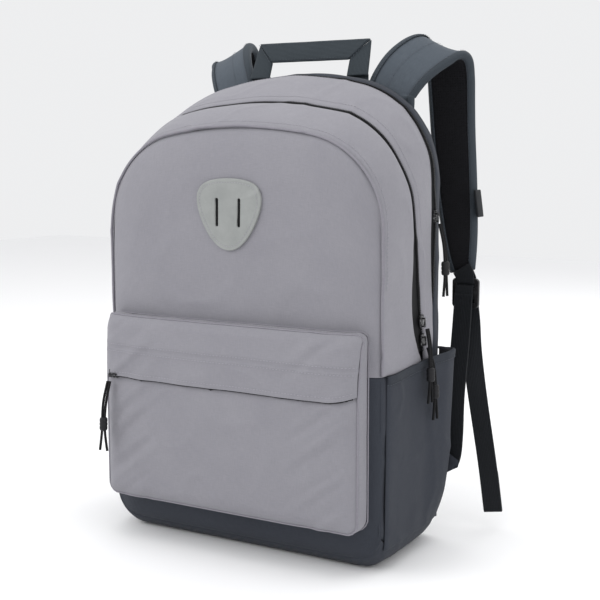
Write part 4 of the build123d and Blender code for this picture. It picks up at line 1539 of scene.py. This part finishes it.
outer_foot, inner_foot, outer_top = handle_hi.x, 0.045, 0.066
handle_rise, band_width = 0.036, 0.023
fold = 0.0012
top_band = handle_band(
    "carry_handle_top",
    [((-outer_top, handle_rise), (-inner_foot, handle_rise - band_width),
      (outer_top, handle_rise), (inner_foot, handle_rise - band_width), 48)],
    handle_layer + 0.0004, 0.0030,
)
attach(top_band, "carry_handle")
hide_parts("carry_handle_face", "carry_handle_backing")
for side_name, sign in (("left", -1), ("right", 1)):
    leg = handle_band(
        f"carry_handle_leg_{side_name}",
        [((sign * outer_foot, -0.004), (sign * inner_foot, -0.004),
          (sign * outer_top, handle_rise - 0.0004),
          (sign * inner_foot, handle_rise - band_width + 0.001), 16)],
        handle_layer - fold, 0.0024,
    )
    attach(leg, "carry_handle")
rows = []
for up in (handle_rise - 0.0025, handle_rise - band_width + 0.0025):
    reach = inner_foot + (up - handle_rise + band_width) / band_width * (outer_top - inner_foot) - 0.002
    rows.append([handle_place(reach * (-1 + j / 40), up, handle_layer + 0.0009) for j in range(81)])
for sign in (-1, 1):
    start = Vector((sign * (inner_foot + 0.0035), handle_rise - band_width + 0.0018))
    end = Vector((sign * (outer_top - 0.0015), handle_rise - 0.0030))
    rows.append([handle_place(*start.lerp(end, j / 16), handle_layer + 0.0009) for j in range(17)])
stitching = along_lines("carry_handle_stitching", rows, stitch_step, stitch_bead, thread_dark)
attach(stitching, "carry_handle")
anchors_lo, anchors_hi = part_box("handle_anchors")
for side_name, sign in (("left", -1), ("right", 1)):
    rows = []
    for i in range(15):
        z = anchors_lo.z + (anchors_hi.z + 0.004 - anchors_lo.z) * i / 14
        row = []
        for j in range(13):
            x = sign * (inner_foot + (anchors_hi.x - inner_foot) * j / 12)
            edge = min(j, 12 - j, i) / 2
            row.append(Vector((x, back_y + 0.0006 + 0.0014 * min(edge, 1.0), z)))
        rows.append(row)
    anchor = grid_piece(
        f"handle_anchor_{side_name}", rows, handle_cloth, skin=0.0012, inside=Vector((0, 0, anchors_lo.z)),
    )
    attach(anchor, "pack")
    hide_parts("handle_anchors")

# ---- shoulder straps ----
# Curved foam pads in slate melange cloth with black spacer mesh on the wearer's side, their long
# edges bound in folded tape. Each is sewn into the back panel's top and narrows to its webbing.
strap_root = Vector((rear_half, rear_y, bag_height - 0.008))
# the right strap's middle line from its root (x, y, z), its width and its roll in degrees
strap_stations = [
    (-0.0575, 0.0078, -0.042, 0.048, 20), (-0.0575, 0.0082, -0.024, 0.050, 25),
    (-0.057, 0.0095, -0.009, 0.052, 27),
    (-0.046, 0.018, 0.012, 0.054, 29), (-0.034, 0.034, 0.027, 0.055, 28), (-0.026, 0.051, 0.033, 0.055, 25),
    (-0.0215, 0.065, 0.027, 0.054, 19), (-0.022, 0.0735, 0.008, 0.052, 10),
    (-0.0215, 0.076, -0.018, 0.050, 3),
    (-0.019, 0.075, -0.052, 0.048, 0), (-0.013, 0.071, -0.102, 0.045, 0), (-0.005, 0.064, -0.152, 0.038, 0),
    (0.002, 0.056, -0.190, 0.027, 0),
]
strap_half_thick = 0.0045


def rounded_line(points, per_span=6):
    """A smooth line through points of any length (Catmull-Rom), keeping its ends."""
    count = len(points)
    line = []
    for i in range(count - 1):
        a = points[max(i - 1, 0)]
        b, c = points[i], points[i + 1]
        d = points[min(i + 2, count - 1)]
        for step in range(per_span + (i == count - 2)):
            t = step / per_span
            line.append(tuple(
                0.5 * (2 * q + (r - p) * t + (2 * p - 5 * q + 4 * r - s) * t * t
                    + (3 * q - p - 3 * r + s) * t ** 3)
                for p, q, r, s in zip(a, b, c, d)
            ))
    return line


def band_frames(stations, sign, per_span=6, twist=lambda share: 0.0):
    """Along a band: its middle, the way across it, the way out of its face, and its width."""
    line = rounded_line(stations, per_span)
    centres = [Vector((sign * x, y, z)) for x, y, z, *_ in line]
    frames = []
    for i, (centre, (_, _, _, width, roll)) in enumerate(zip(centres, line)):
        run = (centres[min(i + 1, len(centres) - 1)] - centres[max(i - 1, 0)]).normalized()
        level = Vector((math.cos(math.radians(roll)), 0, -sign * math.sin(math.radians(roll))))
        across = (level - run * level.dot(run)).normalized()
        out = across.cross(run).normalized()
        turn = math.radians(twist(i / (len(centres) - 1))) * sign
        side, face = across, out
        across = side * math.cos(turn) + face * math.sin(turn)
        out = face * math.cos(turn) - side * math.sin(turn)
        frames.append((centre, across * sign, out, width))
    return frames


def strap_cloth(name, light, dark):
    return melange(name, light, dark, pitch=0.0008, streak=0.4)


strap_slate = strap_cloth("strap_slate", (0.082, 0.098, 0.117), (0.064, 0.077, 0.093))
binding_slate = ribbed_tape("binding_slate", (0.036, 0.045, 0.055), 0.0012)
pad_columns = [0.0, 0.03, 0.07, 0.13] + [0.13 + 0.74 * i / 8 for i in range(1, 8)] + [0.87, 0.93, 0.97, 1.0]
held_columns = (0, 1, 6, 13, 14)
channel_share = 0.4075


for side_name, sign in (("left", -1), ("right", 1)):
    body = f"shoulder_strap_{side_name}"
    frames = band_frames(
        [(x + strap_root.x, y + strap_root.y, z + strap_root.z, *rest) for x, y, z,
            *rest in strap_stations], sign,
    )
    outer_rows, inner_rows, mesh_rows = [], [], []
    for i, (centre, across, out, width) in enumerate(frames):
        outer, inner, face = [], [], []
        end = len(frames) - 1 - i
        for share in pad_columns:
            edge = min(share, 1 - share) * width
            fill = math.sqrt(1 - (1 - min(edge / 0.008, 1.0)) ** 2) * min(1.0, 0.30 + i / 14,
                0.25 + 0.2 * end)
            place = centre + across * (share - 0.5) * width
            outer.append(place + out * (strap_half_thick - 0.0012) * fill)
            inner.append(place - out * (strap_half_thick - 0.0008) * fill)
            mesh_place = centre + across * (share - 0.5) * (width - 0.004)
            face.append(mesh_place - out * (0.0004 + (strap_half_thick + 0.0007) * fill))
        outer_rows.append(outer)
        inner_rows.append(inner)
        mesh_rows.append(face)
    pad = sheet_pair(f"strap_pad_cloth_{side_name}", outer_rows, inner_rows, strap_slate)
    width_count = len(pad_columns)
    seams = [i * width_count + j for i in range(len(frames)) for j in held_columns]
    seams += [i * width_count + j for i in (0, len(frames) - 1) for j in range(width_count)]
    outer_total = len(frames) * width_count
    seams += list(range(outer_total, len(pad.data.vertices)))
    inflate(pad, seams, 1.6, 12, 0.0022)
    smoothed(pad)
    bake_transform(pad)
    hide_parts(f"strap_pad_{side_name}")
    net = grid_piece(f"strap_mesh_net_{side_name}", mesh_rows, mesh_black, skin=0.0010,
                     inside=frames[len(frames) // 2][0] + frames[len(frames) // 2][2] * 0.05)
    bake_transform(net)
    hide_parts(f"strap_mesh_{side_name}")
    profile = [(-0.0065, 0.0041), (-0.0050, 0.0049), (-0.0025, 0.0042), (-0.0006, 0.0026), (0.0006, 0.0),
               (-0.0004, -0.0028), (-0.0025, -0.0050), (-0.0050, -0.0060), (-0.0062, -0.0054)]
    for edge_name, edge_sign in (("inner", -1), ("outer", 1)):
        rows = []
        for i, (centre, across, out, width) in enumerate(frames):
            end = min(1.0, 0.35 + min(i, len(frames) - 1 - i) * 0.25)
            rows.append([
                centre + across * edge_sign * (width / 2 + along) + out * (lift * end)
                for along, lift in profile
            ])
        tape = grid_piece(
            f"strap_binding_{edge_name}_{side_name}", rows, binding_slate, skin=0.0006,
            inside=sum((centre for centre, *_ in frames), Vector()) / len(frames) - Vector((0, 0.03, 0)),
        )
        solid = bmesh.new()
        solid.from_mesh(tape.data)
        bmesh.ops.recalc_face_normals(solid, faces=solid.faces)
        solid.to_mesh(tape.data)
        solid.free()
        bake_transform(tape)
    rows = [[
        centre + across * (channel_share - 0.5) * width + out * 0.0040 for centre, across, out,
        width in frames[12:-8]
    ]]
    for edge_sign in (-1, 1):
        rows.append([
            centre + across * edge_sign * (width / 2 - 0.0055) + out * 0.0050
            for centre, across, out, width in frames[12:-2]
        ])
        rows.append([
            centre + across * edge_sign * (width / 2 - 0.0052) - out * 0.0063
            for centre, across, out, width in frames[12:-2]
        ])
    stitching = along_lines(f"strap_stitching_{side_name}", rows, stitch_step, stitch_bead, thread_dark)
    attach(stitching, body)
    anchor_lo, anchor_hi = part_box(f"strap_anchor_{side_name}")
    anchor_x = (abs(anchor_lo.x) + abs(anchor_hi.x)) / 2
    rows = []
    for i in range(21):
        v = i / 20
        half = 0.019 + 0.005 * v
        row = []
        for j in range(17):
            u = -1 + j / 8
            top = anchor_hi.z - 0.0125 - 0.012 * u
            z = anchor_lo.z + (top - anchor_lo.z) * v
            edge = min(j, 16 - j, i) / 3
            row.append(Vector((sign * (anchor_x + half * u), back_y + 0.0008 + 0.0016 * min(1.0, edge), z)))
        rows.append(row)
    anchor = grid_piece(
        f"strap_anchor_cloth_{side_name}", rows, strap_slate, skin=0.0016,
        inside=Vector((0, 0, anchor_lo.z)),
    )
    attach(anchor, "pack")
    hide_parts(f"strap_anchor_{side_name}")

# ---- ladder locks, webbing and wings ----
# Moulded ladder locks hang from the straps on short keepers. The 20 mm webbing starts at a sewn
# wing at the foot of the back, turns round the lock's middle bar and hangs free as a tail.
webbing_black = ribbed_tape("webbing_black", (0.008, 0.0095, 0.012), 0.0017)
webbing_thick = 0.0018
plastic, tree, shader = plain_surface("lock_acetal", (0.014, 0.014, 0.015), 0.42)
grain = noise_node(tree, place_of(tree, "Object"), 1800, 3)
bump_on(tree, shader, grain, 0.00004, 0.8)
scuffs = noise_node(tree, place_of(tree, "Object"), 220, 5)
tree.links.new(shade_between(tree, scuffs, 0.45, 0.75, (0.012, 0.012, 0.013), (0.030, 0.030, 0.032)),
               shader.inputs["Base Color"])


def softened(node, name, material, width, segments=2):
    """A moulded piece with its arrises rounded: the node's shape, merged and bevelled."""
    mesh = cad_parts[node].data.copy()
    solid = bmesh.new()
    solid.from_mesh(mesh)
    bmesh.ops.remove_doubles(solid, verts=solid.verts, dist=1e-6)
    bmesh.ops.dissolve_limit(solid, angle_limit=math.radians(1), verts=solid.verts, edges=solid.edges)
    solid.to_mesh(mesh)
    solid.free()
    mesh.materials.clear()
    mesh.materials.append(material)
    mesh.name = name
    obj = bpy.data.objects.new(name, mesh)
    scene.collection.objects.link(obj)
    bevel = obj.modifiers.new("arris", "BEVEL")
    bevel.width = width
    bevel.segments = segments
    bevel.limit_method = "ANGLE"
    bevel.angle_limit = math.radians(30)
    bevel.harden_normals = False
    settled(obj)
    obj.data.shade_smooth()
    facets = obj.modifiers.new("facets", "WEIGHTED_NORMAL")
    facets.keep_sharp = True
    return settled(obj)


def ribbon(name, route, width, sign, material=webbing_black, thickness=webbing_thick,
    twist=lambda share: 0.0,
           per_span=8):
    """Flat webbing laid along a route, with softly rounded edges."""
    frames = band_frames([(*p, width, 0) for p in route], sign, per_span, twist)
    rows = []
    for centre, across, out, wide in frames:
        row = []
        for u in (-1, -0.94, -0.8, -0.5, 0, 0.5, 0.8, 0.94, 1):
            edge = 1 - (abs(u) ** 12)
            row.append(centre + across * (u * wide / 2) + out * (thickness / 2 * (0.55 + 0.45 * edge)))
        rows.append(row)
    middle = frames[len(frames) // 2]
    band = grid_piece(name, rows, material, skin=thickness, inside=middle[0] - middle[2] * 0.1)
    return band, frames


for side_name, sign in (("left", -1), ("right", 1)):
    lock_lo, lock_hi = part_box(f"ladder_lock_{side_name}")
    lock_x, lock_y = (abs(lock_lo.x) + abs(lock_hi.x)) / 2, (lock_lo.y + lock_hi.y) / 2
    lock_foot, lock_top = lock_lo.z, lock_hi.z
    bar, gap = 0.0046, 0.0052
    buckle = f"buckle_{side_name}"
    lock = softened(f"ladder_lock_{side_name}", f"ladder_lock_moulding_{side_name}", plastic, 0.0007)
    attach(lock, buckle)
    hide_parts(f"ladder_lock_{side_name}")
    middle_top = lock_top - bar - gap
    turn_route = [
        (lock_x, lock_y - 0.0056, lock_foot + 0.012), (lock_x, lock_y - 0.0050, middle_top - 0.003),
        (lock_x, lock_y - 0.0028, middle_top + 0.0022),
        (lock_x + 0.0004, lock_y + 0.0012, middle_top + 0.0027),
        (lock_x + 0.0008, lock_y + 0.0040, middle_top - 0.001),
        (lock_x + 0.0016, lock_y + 0.0046, middle_top - 0.008),
        (lock_x + 0.0020, lock_y + 0.0044, lock_foot + 0.0055),
    ]
    turn, _ = ribbon(f"webbing_turn_{side_name}", turn_route, 0.0195, sign)
    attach(turn, buckle)
    keeper_route = [
        (strap_root.x + 0.0012, strap_root.y + 0.0590, strap_root.z - 0.176),
        (strap_root.x + 0.0035, strap_root.y + 0.0545, strap_root.z - 0.190),
        (lock_x - 0.0020, lock_y + 0.0030, lock_top + 0.0035), (lock_x, lock_y + 0.0032, lock_top - 0.0020),
        (lock_x, lock_y + 0.0006, lock_top - 0.0062), (lock_x, lock_y - 0.0030, lock_top - 0.0030),
        (lock_x - 0.0010, lock_y - 0.0026, lock_top + 0.0040),
        (strap_root.x + 0.0030, strap_root.y + 0.0500, strap_root.z - 0.186),
    ]
    keeper, _ = ribbon(f"strap_keeper_webbing_{side_name}", keeper_route, 0.0200, sign, thickness=0.0014)
    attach(keeper, f"shoulder_strap_{side_name}")
    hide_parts(f"strap_keeper_{side_name}")
    wing_lo, wing_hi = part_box(f"wing_{side_name}")
    wing_tip, wing_middle = max(abs(wing_lo.x), abs(wing_hi.x)), (wing_lo.z + wing_hi.z) / 2
    load_low, load_high = wing_middle + 0.008, (lock_top + lock_foot) / 2
    load_route = [
        (lock_x + x, lock_y + y, load_low + share * (load_high - load_low))
        for x, y, share in ((0, -0.0056, 1.0), (0, -0.013, 0.675), (0.001, -0.025, 0.357),
            (0.005, -0.036, 0.127),
                            (0.006, -0.0410, 0.0))
    ]
    load_route.append((wing_tip - 0.0115, back_y + 0.0042, wing_middle - 0.003))
    load, _ = ribbon(
        f"load_webbing_band_{side_name}", load_route, 0.020, sign,
        twist=lambda share: smooth_through([(0, 0), (0.35, 6), (0.7, -4), (1.0, -18)], share),
    )
    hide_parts(f"load_webbing_{side_name}")
    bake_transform(load)
    tail_top, tail_foot = lock_foot + 0.006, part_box(f"strap_tail_{side_name}")[0].z
    tail_route = [
        (lock_x + x, lock_y + y, tail_top + share * (tail_foot + 0.001 - tail_top))
        for x, y, share in ((0.002, 0.0044, 0.0), (0.0035, 0.0062, 0.10), (0.005, 0.0065, 0.213),
            (0.0085, 0.0072, 0.35),
                            (0.013, 0.008, 0.491), (0.024, 0.007, 0.769), (0.032, 0.0055, 1.0))
    ]
    tail_turn = lambda share: smooth_through([(0, 0), (0.25, 14), (0.5, 22), (0.75, 10), (1.0, 4)], share)
    tail, tail_frames = ribbon(f"strap_tail_band_{side_name}", tail_route, 0.020, sign, twist=tail_turn)
    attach(tail, f"tail_{side_name}")
    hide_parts(f"strap_tail_{side_name}")
    hem_rows = []
    for centre, across, out, wide in tail_frames[-8:]:
        hem_rows.append([
            centre + across * (u * wide / 2) + out * (webbing_thick * 1.45 - 0.0005 * abs(u) ** 8) for u in
            (-1, -0.9, -0.5, 0, 0.5, 0.9, 1)
        ])
    middle = tail_frames[-4]
    hem = grid_piece(f"strap_tail_hem_{side_name}", hem_rows, webbing_black, skin=webbing_thick,
                     inside=middle[0] - middle[2] * 0.1)
    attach(hem, f"tail_{side_name}")
    rows = []
    for index in (-7, -3):
        centre, across, out, wide = tail_frames[index]
        rows.append([centre + across * (u / 10 * wide / 2 * 0.8) + out * webbing_thick * 1.55
            for u in range(-10, 11)])
    stitching = along_lines(f"strap_tail_stitching_{side_name}", rows, 0.0026, (0.0005, 0.0005, 0.0018),
        thread_black)
    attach(stitching, f"tail_{side_name}")
    inner_x = min(abs(wing_lo.x), abs(wing_hi.x))
    rows_out, rows_in = [], []
    for i in range(13):
        t = i / 12
        x = inner_x + (wing_tip - inner_x) * t
        half = (wing_hi.z - wing_lo.z) / 2 * (1 - t) + 0.003 * t
        outer, inner = [], []
        for j in range(13):
            u = -1 + j / 6
            edge = min(half * (1 - abs(u)), (wing_tip - x)) / 0.006
            rise = 0.0012 * min(1.0, edge)
            outer.append(Vector((sign * x, back_y + 0.0014 + rise, wing_middle + half * u)))
            inner.append(Vector((sign * x, back_y + 0.0014 - rise, wing_middle + half * u)))
        rows_out.append(outer)
        rows_in.append(inner)
    wing = smoothed(sheet_pair(f"wing_cloth_{side_name}", rows_out, rows_in, shell_dark))
    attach(wing, "pack")
    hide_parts(f"wing_{side_name}")
    loop_lo, loop_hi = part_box(f"strap_side_loop_{side_name}")
    centre_x, centre_y = (loop_lo.x + loop_hi.x) / 2, (loop_lo.y + loop_hi.y) / 2
    rows = []
    for i in range(13):
        t = i / 12
        z = loop_lo.z + 0.0005 + (loop_hi.z - loop_lo.z - 0.001) * t
        lean_x = -sign * math.tan(math.radians(8)) * (z - (loop_lo.z + loop_hi.z) / 2)
        row = []
        for j in range(24):
            a = 2 * math.pi * j / 24
            straight = 0.0062 * max(-1.0, min(1.0, 1.8 * math.cos(a)))
            row.append(Vector((centre_x + lean_x + 0.0014 * math.sin(a),
                centre_y - 0.001 + straight + 0.0012 * math.cos(a), z)))
        rows.append(row)
    loop = grid_piece(
        f"strap_side_loop_tape_{side_name}", rows, webbing_black, skin=0.0009, close=True,
        inside=Vector((centre_x, centre_y, (loop_lo.z + loop_hi.z) / 2)),
    )
    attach(loop, f"shoulder_strap_{side_name}")
    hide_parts(f"strap_side_loop_{side_name}")

# ---- zip sliders ----
# Die-cast sliders in black lacquer, rubbed to bare metal in scattered patches.
slider_metal, tree, shader = plain_surface("slider_lacquer", (0.03, 0.03, 0.032), 0.32, 0.7)
place = place_of(tree, "Object")
rubbing = noise_node(tree, place, 420, 5, 0.65)
tree.links.new(shade_between(tree, rubbing, 0.5, 0.72, (0.022, 0.022, 0.024), (0.34, 0.34, 0.35)),
    shader.inputs["Base Color"])
bump_on(tree, shader, noise_node(tree, place, 1500, 3), 0.00006, 0.6)
for name in ("main_slider_lower", "main_slider_upper", "laptop_slider", "pocket_slider"):
    slider = softened(name, f"{name}_casting", slider_metal, 0.0004)
    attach(slider, name)
    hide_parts(name)

# ---- inside the bag ----
# The foam sheet behind the back mesh, the padded divider and the laptop sleeve keep their plain
# cut shapes, in closed-cell foam and grey lining cloth.
foam_grey, tree, shader = plain_surface("foam_grey", (0.22, 0.22, 0.23), 0.9)
cells = tree.nodes.new("ShaderNodeTexVoronoi")
cells.inputs["Scale"].default_value = 700
tree.links.new(place_of(tree, "Object"), cells.inputs["Vector"])
bump_on(tree, shader, cells.outputs["Distance"], 0.0003, 0.6)
lining_plain = melange("lining_plain", (0.075, 0.077, 0.083), (0.055, 0.057, 0.062), by="Object",
    roughness=0.6)
inner_finishes = {
    "back_panel_foam": foam_grey, "compartment_divider": lining_plain, "laptop_sleeve": lining_plain,
}
for node, finish in inner_finishes.items():
    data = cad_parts[node].data
    data.materials.clear()
    data.materials.append(finish)
